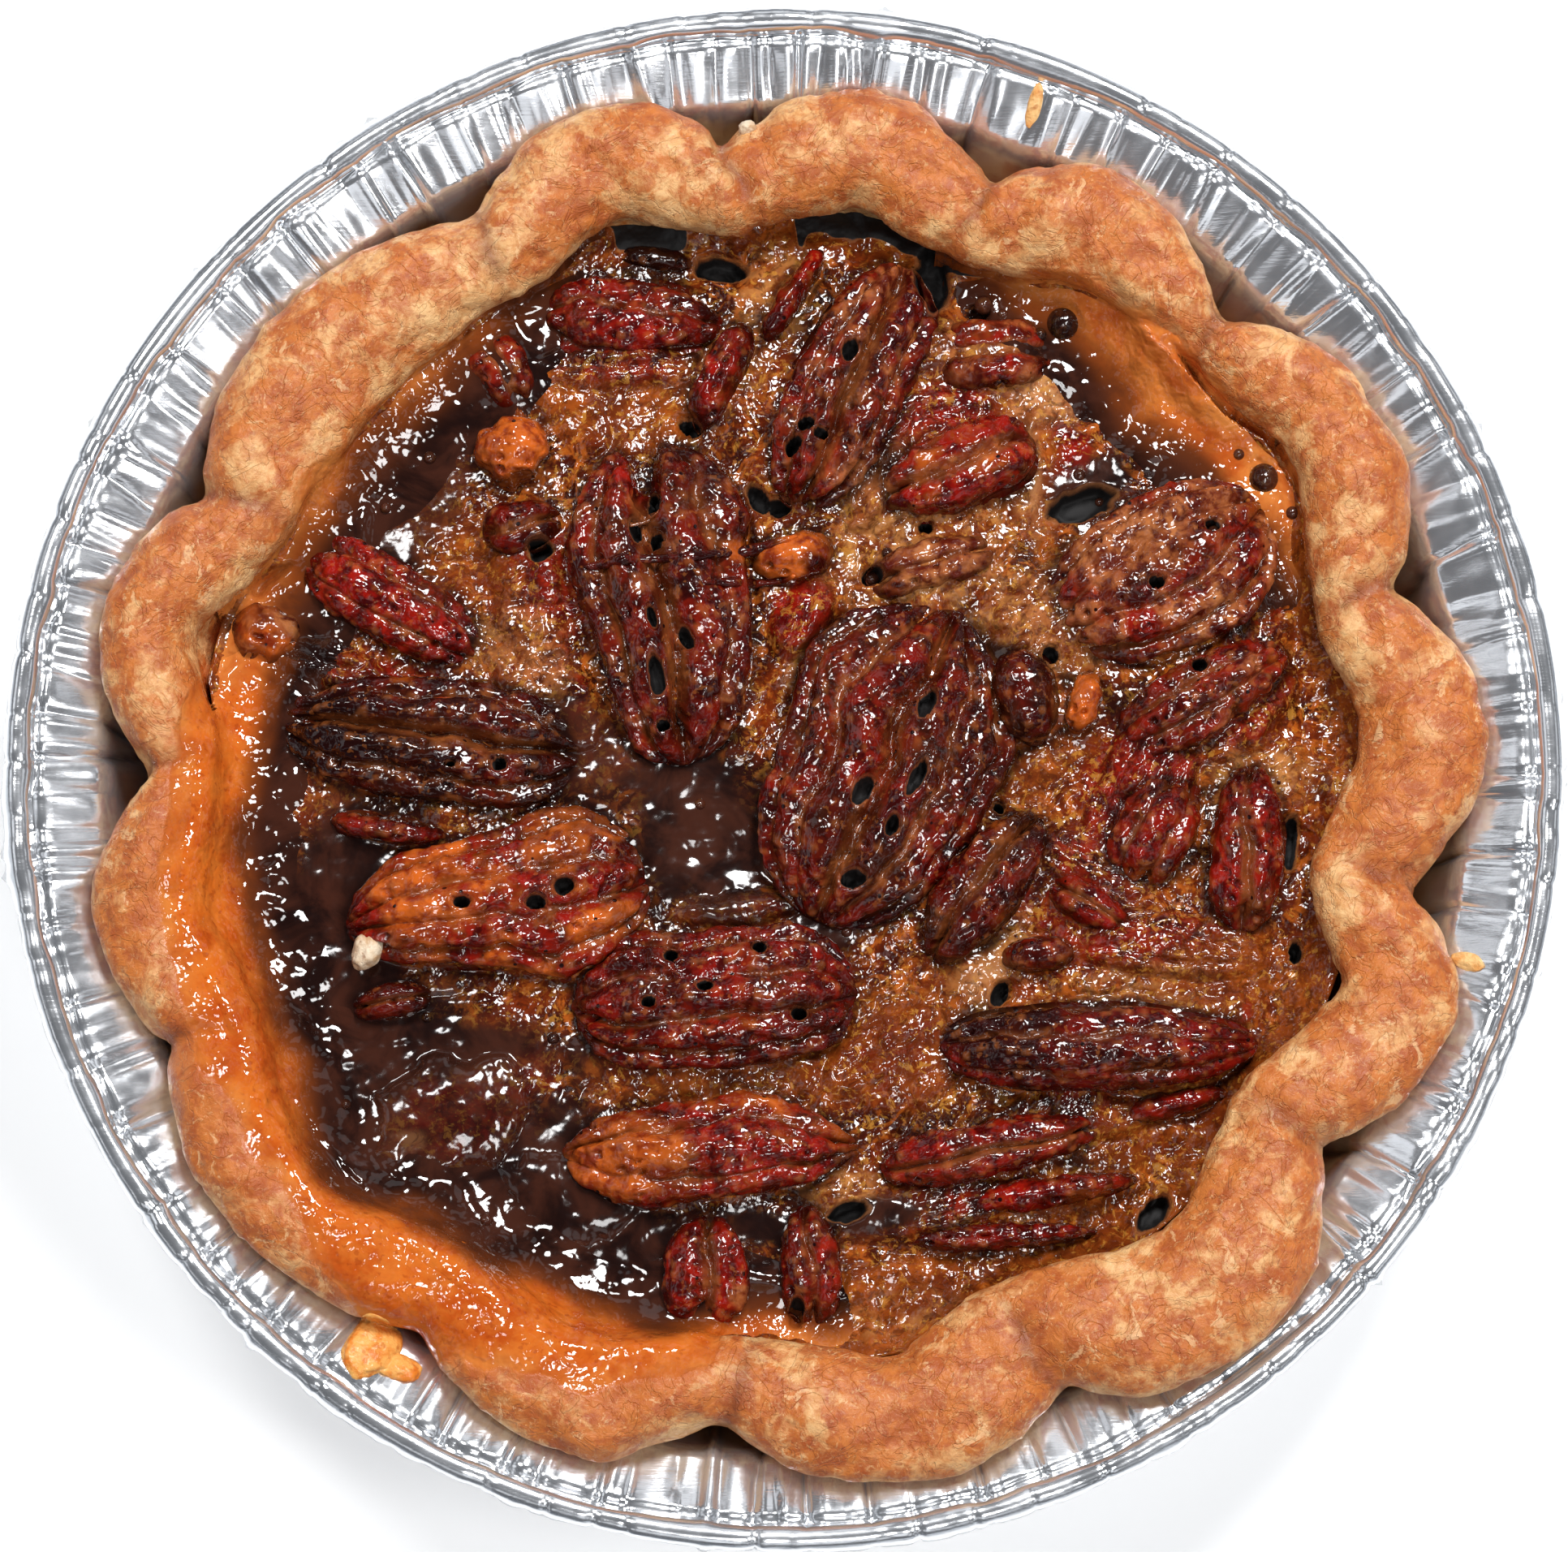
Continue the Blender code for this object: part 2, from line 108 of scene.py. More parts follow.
# Outlines that differ from the plain half: how far the left and then the right side stands out, at
# even steps from the near end to the far end along the heading; then how blunt the ends are, and
# how deep the near end is split between its lobes.
OUTLINES = {
    6: ((0.9, 1, 1.1, 1.1, 1, 0.9, 0.8), (0.9, 1, 1, 1, 1.05, 1.1, 1.1), 3.6, 0),
    8: ((0.6, 0.85, 1, 1.05, 1.1, 1.15, 1.2), (0.6, 0.9, 1.1, 1.1, 1.1, 1.15, 1.2), 4.5, 0),
    10: ((1.1, 0.96, 1.06, 0.9, 1.04, 0.96, 1.1), (0.94, 1.06, 0.92, 1.1, 0.92, 1.04, 0.92), 2.8, 1),
    12: ((1, 1.1, 1.12, 1.08, 1, 0.9, 0.9), (0.85, 0.92, 1.05, 0.95, 0.85, 0.75, 0.8), 4.6, 5.5),
    13: ((1.1, 0.96, 1.08, 0.92, 1.04, 0.86, 1.04), (0.92, 1.04, 0.9, 1.08, 0.92, 1.04, 0.92), 2.8, 0),
    15: ((0.92, 1.08, 0.92, 1.04, 0.88, 1.08, 0.96), (1.08, 0.92, 1.08, 0.92, 1.08, 0.92, 1.04), 2.8, 0),
    16: ((0.7, 0.8, 0.92, 0.98, 1, 0.98, 0.9), (0.9, 1.05, 1.05, 1.05, 1.12, 1.25, 1.1), 3.2, 0),
    18: ((1.1, 1.3, 1.4, 1, 0.85, 0.8, 0.7), (1.3, 1.3, 1.2, 1, 1, 0.95, 0.7), 4.2, 0),
    20: ((1, 1.1, 1.15, 1.25, 1.36, 1.25, 0.95), (0.95, 1.05, 1.12, 1.2, 1.22, 0.95, 0.6), 3.8, 0),
    21: ((1.2, 1.4, 1.5, 1.5, 1.4, 1.2, 1), (1.2, 1.4, 1.5, 1.5, 1.4, 1.2, 1), 3.4, 0),
    22: ((0.9, 1.1, 1.2, 1.2, 1.1, 1, 0.8), (0.9, 1.1, 1.2, 1.2, 1.1, 1, 0.8), 3.2, 0),
    23: ((0.9, 0.95, 0.98, 0.98, 0.95, 0.9, 0.8), (0.8, 0.95, 1.1, 1.2, 1.25, 1.2, 1), 3.6, 0),
    24: ((0.92, 1.08, 0.9, 1.08, 0.96, 1.08, 0.88), (1.08, 0.9, 1.1, 0.92, 1.08, 0.88, 1), 2.8, 0),
    30: ((1, 1, 1, 1.05, 1.05, 1, 0.9), (1, 1.05, 1, 1, 1, 1, 1), 5, 0),
    31: ((0.9, 0.95, 1, 1.05, 1.1, 0.9, 0.5), (1, 1.15, 1.1, 1, 0.9, 0.8, 0.5), 3, 0),
}
PLAIN_OUTLINE = ((1.1, 1.06, 1.03, 1.0, 0.97, 0.92, 0.86),) * 2 + (3.0, 0.0)

# Patches on single pecans, by kind, as soft ellipses: x, y, half length, half width, heading,
# and how strongly.
NUT_STAINS = {
    "toast": (
        (22.9, -4.8, 1.9, 1.7, 50, 2), (-38.4, -11.2, 4, 1.8, 10, 1.4),
        (-34.6, -8.2, 2.6, 1.6, 30, 1.4), (-17.4, -4.6, 2.4, 1.8, 0, 1.4),
        (-19.6, -16.2, 2.2, 2, 0, 1.2), (-25.2, -21.4, 2.4, 1.6, 0, 1.2),
        (-16.5, -39, 7.5, 4, 0, 1.1), (-4.8, 23.2, 1.6, 1.2, 0, 1),
    ),
    "char": (
        (-45, 4, 9, 6, -7, 1), (22, -25.5, 9, 5, 0, 0.9), (25, 7.5, 3, 6, 0, 0.6),
    ),
    "ruby": (
        (11.8, 50, 4.5, 5.5, 60, 1.2), (43.5, -27, 6, 4.5, 0, 1), (-5.4, -50, 2.2, 7, 0, 1.2),
        (24.6, 8, 2.8, 5, 0, 1), (2.6, -38.4, 5, 3, 0, 1),
    ),
    "foam": (
        (8.4, 30.2, 3.4, 3, 0, 0.8), (-4, -53.2, 1.4, 1.4, 0, 1.2), (34, 24, 6, 5, 30, 0.8),
    ),
}

# Nuts wholly under the filling's skin: x, y, heading, half length, half width, height, ridges.
BURIED = (
    (27, 16.5, 50, 8, 4.5, 1.7, 3), (36.5, -1, 62, 9.5, 5, 1.9, 4),
    (46.5, 7.5, 40, 7.5, 4.5, 1.7, 3), (48.5, 17, 78, 7, 3.5, 1.5, 2),
    (31.5, -9.5, -30, 7.5, 3.4, 1.9, 3), (40, -17.5, -6, 10, 3.4, 1.6, 3),
    (12, -29, 20, 7.5, 5, 1.3, 3), (14, -44, 8, 10.5, 3, 1.7, 3), (29, -34.5, 8, 10, 3, 1.6, 2),
    (11.5, 32.5, 60, 7, 4, 1.6, 3), (15.5, 38, 14, 7, 3, 1.5, 2), (15, 45, 10, 5.5, 3.4, 1.4, 2),
    (-26, 18, 100, 8.5, 4, 1.5, 2), (-24, 8.5, -40, 7.5, 4, 1.4, 2),
    (-17.5, 43, 0, 9, 2.4, 1.3, 2), (-46, 11.5, -20, 6.5, 2.4, 1.3, 2),
    (-34, -34.7, 25, 8, 6, 1.7, 3), (-22, -43, 160, 7, 4, 1, 2),
    (-50.5, 6.5, -10, 4.5, 2.8, 1.4, 1), (2, 16.5, 60, 4.5, 2.8, 1.5, 2),
    (12, -52, 10, 6, 3, 1.1, 1), (-4, -13.4, 6, 7, 1.8, 1.4, 1), (40.5, 39, 120, 8, 4.5, 1.3, 2),
    (44, -24, 10, 6, 3, 1.2, 1),
)

# Holes left by burst bubbles: x, y, half length, half width, heading.
HOLES = (
    (-25, 23.5, 1.3, 1.2, 0), (-13.3, 28, 1.4, 0.6, 85), (-15.2, 25, 1.3, 0.6, 100),
    (-13, 24, 0.8, 0.6, 70), (-13.5, 16, 1.1, 0.5, 105), (-10, 14, 1.2, 0.6, 115),
    (-13, 10, 2.2, 0.75, 100), (-12.3, 5, 0.7, 0.6, 0), (-9.7, 36.5, 1.3, 0.7, 150),
    (-2.6, 28.9, 1.7, 1, 120), (-0.6, 28.2, 1.2, 0.9, 0), (6.8, 43.7, 1.1, 0.8, 60),
    (2.2, 36.2, 0.9, 0.7, 20), (1, 34, 1.1, 0.7, 60), (3.8, 35.2, 0.7, 0.6, 0),
    (14.5, 26, 0.7, 0.6, 0), (48.4, 31.4, 1.7, 1.5, 0), (27.3, 12.6, 0.9, 0.8, 0),
    (43.8, 25.5, 0.8, 0.7, 0), (38, 19.6, 0.8, 0.6, 0), (42.5, 11.3, 0.8, 0.7, 0),
    (14.5, 7, 1.5, 0.8, 65), (8, -1.8, 1.6, 0.9, 60), (13.5, -0.5, 2.1, 0.65, 62),
    (11, -5.3, 1.2, 0.65, 70), (7, -10.8, 1.3, 0.9, 20), (22, -3.1, 0.7, 0.5, 120),
    (-22.3, -11.5, 1.1, 0.95, 20), (-25.2, -13.2, 1, 0.7, 10), (-32.7, -13.2, 1, 0.7, 0),
    (-29, 1, 0.8, 0.75, 0), (-34, 1, 0.5, 0.4, 0), (-11.5, -18.5, 0.7, 0.6, 0),
    (-2.5, -17.7, 0.7, 0.6, 0), (-8, -21.7, 0.9, 0.5, 0), (-13.7, -23.3, 0.7, 0.5, 20),
    (1.5, -24.5, 0.8, 0.7, 0), (22, -22, 1.5, 0.8, 70), (51.8, -6.5, 2.6, 0.8, 85),
    (52.2, -17.8, 1.3, 0.7, 90), (37.5, -44.5, 2.4, 1.1, 45), (28.5, 47.7, 1.9, 1.7, 0),
    (20.2, 48.6, 1, 0.8, 0), (9, 21, 1.1, 0.9, 30), (-52, 20.5, 3, 1.2, 30),
    (6.5, -44.4, 2, 1, 10), (1.2, -54.6, 1.6, 0.8, 80), (15.3, 52, 3.2, 1.7, 95),
    (30.6, 28.5, 3.4, 1.5, 20), (-6.6, 53.4, 2.6, 1.3, 170),
)

# How deep those holes are in the filling and in the nuts, and where on the hole mask their walls
# start and end.
FILLING_HOLE_DEPTH = 3.2
NUT_HOLE_DEPTH = 3.0
HOLE_WALL = (0.42, 0.62)

# What lies on the filling, by kind, painted as soft ellipses: x, y, half length, half width,
# heading, and how strongly.
STAINS = {
    "syrup": (
        (-44, -17, 21, 7.5, 95, 1), (-37, -33, 17, 13, 120, 1), (-24, -41, 15, 10, 150, 1),
        (-17, -49, 9, 8, 160, 1), (-36, -27, 18, 4, 175, 1), (-9, -5, 13, 9, 130, 1),
        (-20, 2, 9, 4.5, 110, 0.8), (-37.7, 30, 8.5, 6, 60, 0.75), (-42, 24, 6, 4, 0, 0.9),
        (31.5, 30.5, 5, 3.4, 30, 1.2), (28.5, 47, 4, 3.2, 0, 0.9), (9.5, -45, 6, 2.2, 10, 1),
        (-1.5, -46, 6, 2.4, 170, 1), (20, 12, 4, 3, 0, 0.6), (4, -15, 6, 3.5, 20, 1),
        (-46, 22, 5, 4, 0, 0.7),
    ),
    "amber": (
        (-44, 38, 14, 6.5, 130, 1), (-50, 30, 9, 4, 115, 1), (-27, 38.5, 6, 4, 20, 0.9),
        (-16.6, 37.4, 9.5, 3.6, 175, 1), (-34, 23, 7, 5, 150, 0.6), (40, 41, 12, 6.5, 118, 1.1),
        (47.5, 32, 6, 5, 90, 0.7), (-2, -30.2, 15, 3.6, 2, 0.8), (13.5, -27, 8, 7, 0, 0.7),
        (44, -20.5, 9, 4.6, 15, 0.8), (33, -39, 10, 4, 40, 0.6), (12.5, -52, 9, 4, 10, 0.9),
        (3.5, 12.4, 5, 2.2, 40, 1.5), (27, 5, 8, 5, 60, 0.6), (25, 34.5, 12, 3, 98, 1),
    ),
    "foam": (
        (14.4, 23.5, 11, 6, 15, 1), (16.5, 46, 5, 3.5, 0, 0.6), (-1, 50.5, 4, 6, 0, 0.8),
        (25, 15, 7, 6, 60, 0.8), (34.3, 18.5, 11, 7, 20, 0.7), (49, -0.5, 5.5, 4, 20, 0.8),
        (20.6, -18.5, 5.5, 4.5, 60, 0.9), (5.5, -42, 4.5, 2.6, 10, 0.8), (-5, 43, 6, 4, 60, 0.4),
        (-31, 0.5, 5, 2.5, 0, 0.6), (-27, 12, 7, 5, 120, 0.5), (10, 31, 6, 4, 40, 0.5),
        (36, -22, 8, 3, 10, 0.5), (12, -54.5, 6, 2.5, 10, 0.5),
    ),
    "cream": (
        (3.2, 12.3, 4.2, 1.5, 36, 1.4), (27, 43, 4.5, 6, 20, 0.9), (24.5, 33, 7.5, 1.8, 96, 0.8),
        (-38.5, -37.5, 2, 1.4, 20, 0.9), (-53, 15, 5, 4, 0, 0.7), (20.5, -20.5, 2.6, 2, 60, 0.8),
    ),
    "ruby": (
        (-56, 13, 5, 4, 70, 1), (28.5, 34, 3.5, 3, 0, 1.2), (16, 35, 8, 5, 30, 0.7),
        (-36, 9, 9, 3, 160, 0.6), (-23, 20, 4, 7, 0, 0.5), (2, 17.5, 3.5, 4, 0, 1),
        (36, 1, 8, 5, 60, 0.7), (29, -15, 7, 5, 0, 0.6), (-33, -35, 9, 5, 20, 0.5),
        (-26, -31, 4, 3, 60, 0.4),
    ),
}

# Where the film over the filling stands higher on the nuts (above 0) or lower: x, y, half length,
# half width, heading, lift.
FILM_LIFTS = (
    (21.6, 43.4, 10, 7, 0, 1.5), (15.2, 22, 11, 6, 15, 1.4), (-29, 42.6, 6, 5, 0, 1.2),
    (36, 20, 14, 8, 20, 0.55), (41, 9, 10, 6, 30, 0.7), (-26.8, 26.2, 6, 4, 0, 0.9),
    (29.2, -13.8, 7, 5, 0, 1), (26.2, -20, 7, 4, 0, 1.1), (-5.6, 41.6, 7, 5, 60, 0.6),
    (-37, 8, 10, 3, 160, 0.8), (20, 36.5, 8, 4, 30, 0.8), (26, -44, 14, 3, 8, 0.7),
    (39.4, -33.4, 8, 3, 14, 0.8), (-15, 44, 9, 3, 0, 0.8), (-11, -29.5, 16, 2.5, 3, 0.7),
    (6, -21, 5, 8, 0, 0.7), (-52, 13, 6, 5, 0, 0.5), (10, 44, 4, 4, 0, 0.5),
)

# How far out the glaze runs over the crust: angle, radius of its edge.
GLAZE_EDGE = (
    (0, 50), (22, 53), (28, 58), (33, 58.8), (38, 58.4), (43, 59.8), (48, 61.4), (55, 60.4),
    (61, 58.8), (68, 55), (76, 50), (112, 50), (122, 54.5), (130, 55.4), (138, 56.8), (147, 57.6),
    (155, 56), (162, 54.5), (168, 57), (174, 61), (180, 61.6), (185, 63), (190, 64.6),
    (194, 65.4), (199, 65), (204, 65), (208, 65.6), (214, 66), (222, 66.8), (229, 68.4),
    (232.5, 69.6), (234.4, 73.6), (236.4, 73.6), (238.5, 69.4), (242, 67.2), (247, 65.8),
    (253, 65), (258, 62.8), (263, 60.2), (269, 52), (300, 50),
)

# How thick that glaze lies, round the pie: angle, 0 where it is a stain and 1 where it is opaque.
GLAZE_BODY = (
    (20, 0.4), (48, 0.6), (70, 0.3), (110, 0.2), (135, 0.35), (160, 0.4), (172, 1), (268, 1),
    (285, 0.4),
)

# Where the dark filling gives way to the orange glaze beside the crust: angle, radius.
POOL_EDGE = (
    (0, 58), (28, 56), (46, 51), (60, 56), (110, 60), (124, 54), (141, 52.5), (158, 54),
    (168, 55), (183, 55.5), (193, 57), (201, 56.6), (208, 57.5), (216, 61), (221, 63),
    (228, 59.6), (235, 57.4), (243, 58.1), (251, 58.7), (258, 57.5), (266, 55), (274, 58),
    (300, 57),
)

# How high the filling climbs the crust, round the pie: angle, rise, and how far in it starts.
CLIMB = (
    (0, 1.5, 4), (15, 1.5, 4), (35, 4.5, 7), (50, 6.5, 9), (60, 3, 6), (72, 0, 4), (85, -1, 4),
    (95, 1.5, 4), (104, -0.5, 4), (112, 1, 4), (125, 3, 8), (140, 4, 10), (152, 3, 9),
    (163, 0.5, 4), (172, 3, 6), (182, 4, 8), (205, 4, 9), (225, 4, 9), (245, 4, 8), (262, 3, 7),
    (272, 2, 4), (290, 3.5, 5), (305, 2, 4), (314, 0.5, 4), (330, 3, 5), (348, 1, 4),
)

# Where the glaze lies thick over the joint of crust and filling: name, first and last angle, the
# radius it reaches in to, the width of its outer edge, and how far outside the pool it darkens.
OVERFLOWS = (
    ("left", 160.0, 280.0, 45.0, 3.0, 2.5),
    ("upper_left", 108.0, 172.0, 42.0, 2.2, 6.5),
    ("upper_right", 16.0, 74.0, 46.0, 2.2, 4.5),
)

# Scraps lying on the pie and its tin: name, x, y, half length, half width, half height, heading,
# whether it follows what is under it, its finish and its slot.
SCRAPS = (
    ("pale_crumb", -3.8, 66.9, 1.0, 0.8, 0.9, 20, False, "pale", "crust"),
    ("glaze_sliver", 25.8, 69.6, 2.2, 0.7, 0.4, 74, True, "dough", "crust"),
    ("crust_flake", 69.4, -19.2, 1.7, 0.9, 0.45, 155, True, "dough", "crust"),
    ("broken_flesh", -42.3, -17.9, 2.2, 1.5, 1.5, 60, False, "pale", "pecan"),
    ("glaze_drop", -41.6, -58.4, 3.2, 2.6, 1.4, 60, True, "drip", "filling"),
    ("glaze_dribble", -38.9, -60.2, 2.6, 1.3, 0.9, 155, True, "drip", "filling"),
)

# Glassy bubbles set in the filling: x, y, radius.
BUBBLES = (
    (9, 21, 0.9), (10.6, 23.3, 0.6), (20.6, 49.5, 1), (22.6, 48.4, 0.6), (44, 25, 0.7),
    (30.4, 31.6, 0.7), (32.6, 29.2, 0.5), (-36.5, 33.4, 0.7), (-41, 28.2, 0.6),
    (-23.5, -26.6, 0.7), (-36.4, -24.4, 0.6), (-44.6, -33.4, 0.6), (-30.2, -45.2, 0.7),
    (52.2, 27.4, 0.7), (28.8, 47.5, 1.7), (49.4, 31.1, 1.6), (26.4, 46.2, 0.7), (46.8, 33.6, 0.6),
    (6.4, -15.8, 0.6), (-8.6, -2.6, 0.6),
)

# Strands of set syrup across a pecan: radius, then the points that each passes over.
STRANDS = (
    (0.55, ((-20.4, 21.2), (-15.5, 21.9), (-10.0, 22.0), (-4.6, 22.9), (1.4, 24.6))),
    (0.45, ((-8.4, 19.4), (-3.6, 19.9), (1.2, 20.6))),
)

# How much fuller the rim of the crust stands than its CAD cage when smoothed: angle, outward.
RIM_FULLNESS = (
    (0, 0.7), (30, 1.5), (60, 2.3), (90, 2.6), (120, 2.3), (150, 1.5), (180, 0.4), (225, 0.5),
    (270, 0.8), (315, 0.6),
)

# Angles of the notches between the crust's flutes, and how deep each crease is.
NOTCHES = (
    (17, 0.8), (46, 0.9), (71, 1.1), (95, 1.3), (119, 0.7), (154, 0.6), (180, 0.8), (205, 0.5),
    (236, 0.6), (265, 0.7), (293, 0.9), (325, 0.8), (350, 1),
)

# ---------------------------------------------------------------- working by hand


def put_down():
    bpy.ops.object.select_all(action="DESELECT")


def take_up(piece):
    put_down()
    piece.select_set(True)
    bpy.context.view_layer.objects.active = piece


def start_editing(piece, select="DESELECT"):
    take_up(piece)
    bpy.ops.object.mode_set(mode="EDIT")
    bpy.ops.mesh.select_all(action=select)


def stop_editing():
    bpy.ops.object.mode_set(mode="OBJECT")


def newest(name):
    piece = bpy.context.active_object
    piece.name = name
    piece.data.name = name
    return piece


def apply_modifier(piece, kind, **settings):
    take_up(piece)
    modifier = piece.modifiers.new(kind.lower(), kind)
    for key, value in settings.items():
        setattr(modifier, key, value)
    bpy.ops.object.modifier_apply(modifier=modifier.name)


def fix_place(piece):
    take_up(piece)
    bpy.ops.object.transform_apply(location=True, rotation=True, scale=True)


def ball_along_x(name, segments, rings):
    """A ball with its poles on X."""
    put_down()
    bpy.ops.mesh.primitive_uv_sphere_add(
        segments=segments, ring_count=rings, radius=MM, rotation=(0.0, math.radians(90), 0.0)
    )
    piece = newest(name)
    fix_place(piece)
    return piece


def extrude_to(grow, rise, height):
    """Extrudes the chosen edges by a rise, and widens them at their new height."""
    move = {"value": (0.0, 0.0, rise * MM)}
    bpy.ops.mesh.extrude_region_move(TRANSFORM_OT_translate=move)
    bpy.ops.transform.resize(value=grow, center_override=(0.0, 0.0, height * MM))


def choose_open_edge(piece):
    start_editing(piece)
    bpy.ops.mesh.select_mode(type="EDGE")
    bpy.ops.mesh.select_non_manifold()


def points_of(piece):
    """Vertices of a piece, in millimetres."""
    co = np.zeros(len(piece.data.vertices) * 3)
    piece.data.vertices.foreach_get("co", co)
    return co.reshape(-1, 3) / MM


def set_points(piece, points):
    piece.data.vertices.foreach_set("co", (points * MM).astype(np.float32).ravel())
    piece.data.update()


def normals_of(piece):
    normals = np.zeros(len(piece.data.vertices) * 3)
    piece.data.vertices.foreach_get("normal", normals)
    return normals.reshape(-1, 3)


def paint(piece, name, values):
    mask = piece.data.attributes.new(name, "FLOAT", "POINT")
    mask.data.foreach_set("value", np.asarray(values, np.float32))


def dress(piece, look, slot, *stands_for):
    piece.data.materials.clear()
    piece.data.materials.append(look)
    piece.data.shade_smooth()
    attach(piece, "root")
    if stands_for:
        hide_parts(*stands_for)
    return piece


# ---------------------------------------------------------------- unevenness


def ease(value, low, high):
    """0 below low, 1 above high, and a smooth step between."""
    share = np.clip((value - low) / (high - low), 0.0, 1.0)
    return share * share * (3.0 - 2.0 * share)


def between(value, low, risen, falling, high):
    """1 from risen to falling, 0 outside low and high, and smooth steps between."""
    return ease(value, low, risen) * (1.0 - ease(value, falling, high))


def lattice(cells, seed):
    """A fixed number from 0 to 1 for each whole-number cell."""
    mixed = cells[..., 0] * 374761393 + cells[..., 1] * 668265263 + cells[..., 2] * 2147483647
    mixed = (mixed + seed * 1442695041) & 0xFFFFFFFF
    mixed = ((mixed ^ (mixed >> 13)) * 1274126177) & 0xFFFFFFFF
    mixed = ((mixed ^ (mixed >> 16)) * 2246822519) & 0xFFFFFFFF
    return ((mixed ^ (mixed >> 15)) & 0xFFFF) / 65535.0


def lumps(points, size, seed):
    """Smooth unevenness from -1 to 1, with lumps of the given size."""
    scaled = points / size
    cells = np.floor(scaled).astype(np.int64)
    share = scaled - cells
    share = share * share * share * (share * (share * 6.0 - 15.0) + 10.0)
    total = np.zeros(len(points))
    for corner in itertools.product((0, 1), repeat=3):
        weight = np.prod(np.where(np.array(corner), share, 1.0 - share), axis=1)
        total += weight * lattice(cells + np.array(corner), seed)
    return 2.0 * total - 1.0


def rough(points, size, seed, octaves=3):
    """Unevenness with finer lumps on the coarser ones."""
    total = np.zeros(len(points))
    for octave in range(octaves):
        total += lumps(points, size / 2.1**octave, seed + octave) * 0.5**octave
    return total / 1.5


def domes(points, size, seed):
    """Packed round domes, 1 at each middle and 0 where they meet, and a number for each dome."""
    scaled = points / size
    cells = np.floor(scaled).astype(np.int64)
    nearest = np.full(len(points), 9.0)
    which = np.zeros(len(points))
    for step in itertools.product((-1, 0, 1), repeat=3):
        near = cells + np.array(step)
        middle = near + np.stack([lattice(near, seed + k) for k in range(3)], axis=1)
        away = np.linalg.norm(middle - scaled, axis=1)
        closer = away < nearest
        which = np.where(closer, lattice(near, seed + 7), which)
        nearest = np.minimum(nearest, away)
    return np.clip(1.0 - nearest / 0.7, 0.0, 1.0), which


def flat(points):
    """The points with their heights left out, so that what is laid on two pieces agrees."""
    level = points.copy()
    level[:, 2] = 0.0
    return level


def from_ellipse(points, x, y, half_length, half_width, heading):
    """How far out of an ellipse each point lies: 0 at the middle and 1 at its edge."""
    turn = math.radians(heading)
    dx, dy = points[:, 0] - x, points[:, 1] - y
    along = (dx * math.cos(turn) + dy * math.sin(turn)) / half_length
    across = (dy * math.cos(turn) - dx * math.sin(turn)) / half_width
    return np.hypot(along, across)


def stained(points, patches, wander):
    """How strongly soft patches lie at each point."""
    total = np.zeros(len(points))
    for *ellipse, strength in patches:
        away = from_ellipse(points, *ellipse) + wander
        total = np.maximum(total, strength * (1.0 - ease(away, 0.55, 1.25)))
    return total


def holed(points):
    """1 at the middle of a hole, 0.5 at its rim and 0 well outside."""
    total = np.zeros(len(points))
    for hole in HOLES:
        x, y = hole[:2]
        near = np.hypot(points[:, 0] - x, points[:, 1] - y) < 2.6 * hole[2] + 1.0
        if near.any():
            away = from_ellipse(points[near], *hole)
            away = away + 0.16 * lumps(points[near], 0.9, 91)
            total[near] = np.maximum(total[near], np.clip(1.0 - 0.5 * away, 0.0, 1.0))
    return total


def around(table, angles, column=1):
    """A value that changes round the pie, from rows of an angle and its values."""
    rows = np.array(table, float)
    return np.interp(angles % 360.0, rows[:, 0], rows[:, column], period=360.0)


def degrees_from(angles, middle):
    """How far round from a middle the angles lie, either way."""
    return (angles - middle + 180.0) % 360.0 - 180.0


def angle_of(points):
    return np.degrees(np.arctan2(points[:, 1], points[:, 0])) % 360.0


def radius_of(points):
    return np.hypot(points[:, 0], points[:, 1])


def filling_top(points):
    """Height of the filling before anything stands in it, as in the CAD source."""
    height = np.full(len(points), FILLING_LEVEL)
    for x, y, reach, rise in SWELLS:
        away = ((points[:, 0] - x) ** 2 + (points[:, 1] - y) ** 2) / reach**2
        height += rise * np.exp(-away)
    fall = np.clip((radius_of(points) - FILLING_FALL_START) / FILLING_FALL_WIDTH, 0.0, 1.0) ** 2
    return height + (FILLING_EDGE_LEVEL - height) * fall


# ---------------------------------------------------------------- finishes


def colour(red, green, blue):
    """A colour as a maker mixes it, 0 to 255 a channel, made linear."""
    linear = []
    for channel in (red, green, blue):
        share = channel / 255.0
        linear.append(share / 12.92 if share <= 0.04045 else ((share + 0.055) / 1.055) ** 2.4)
    return (*linear, 1.0)


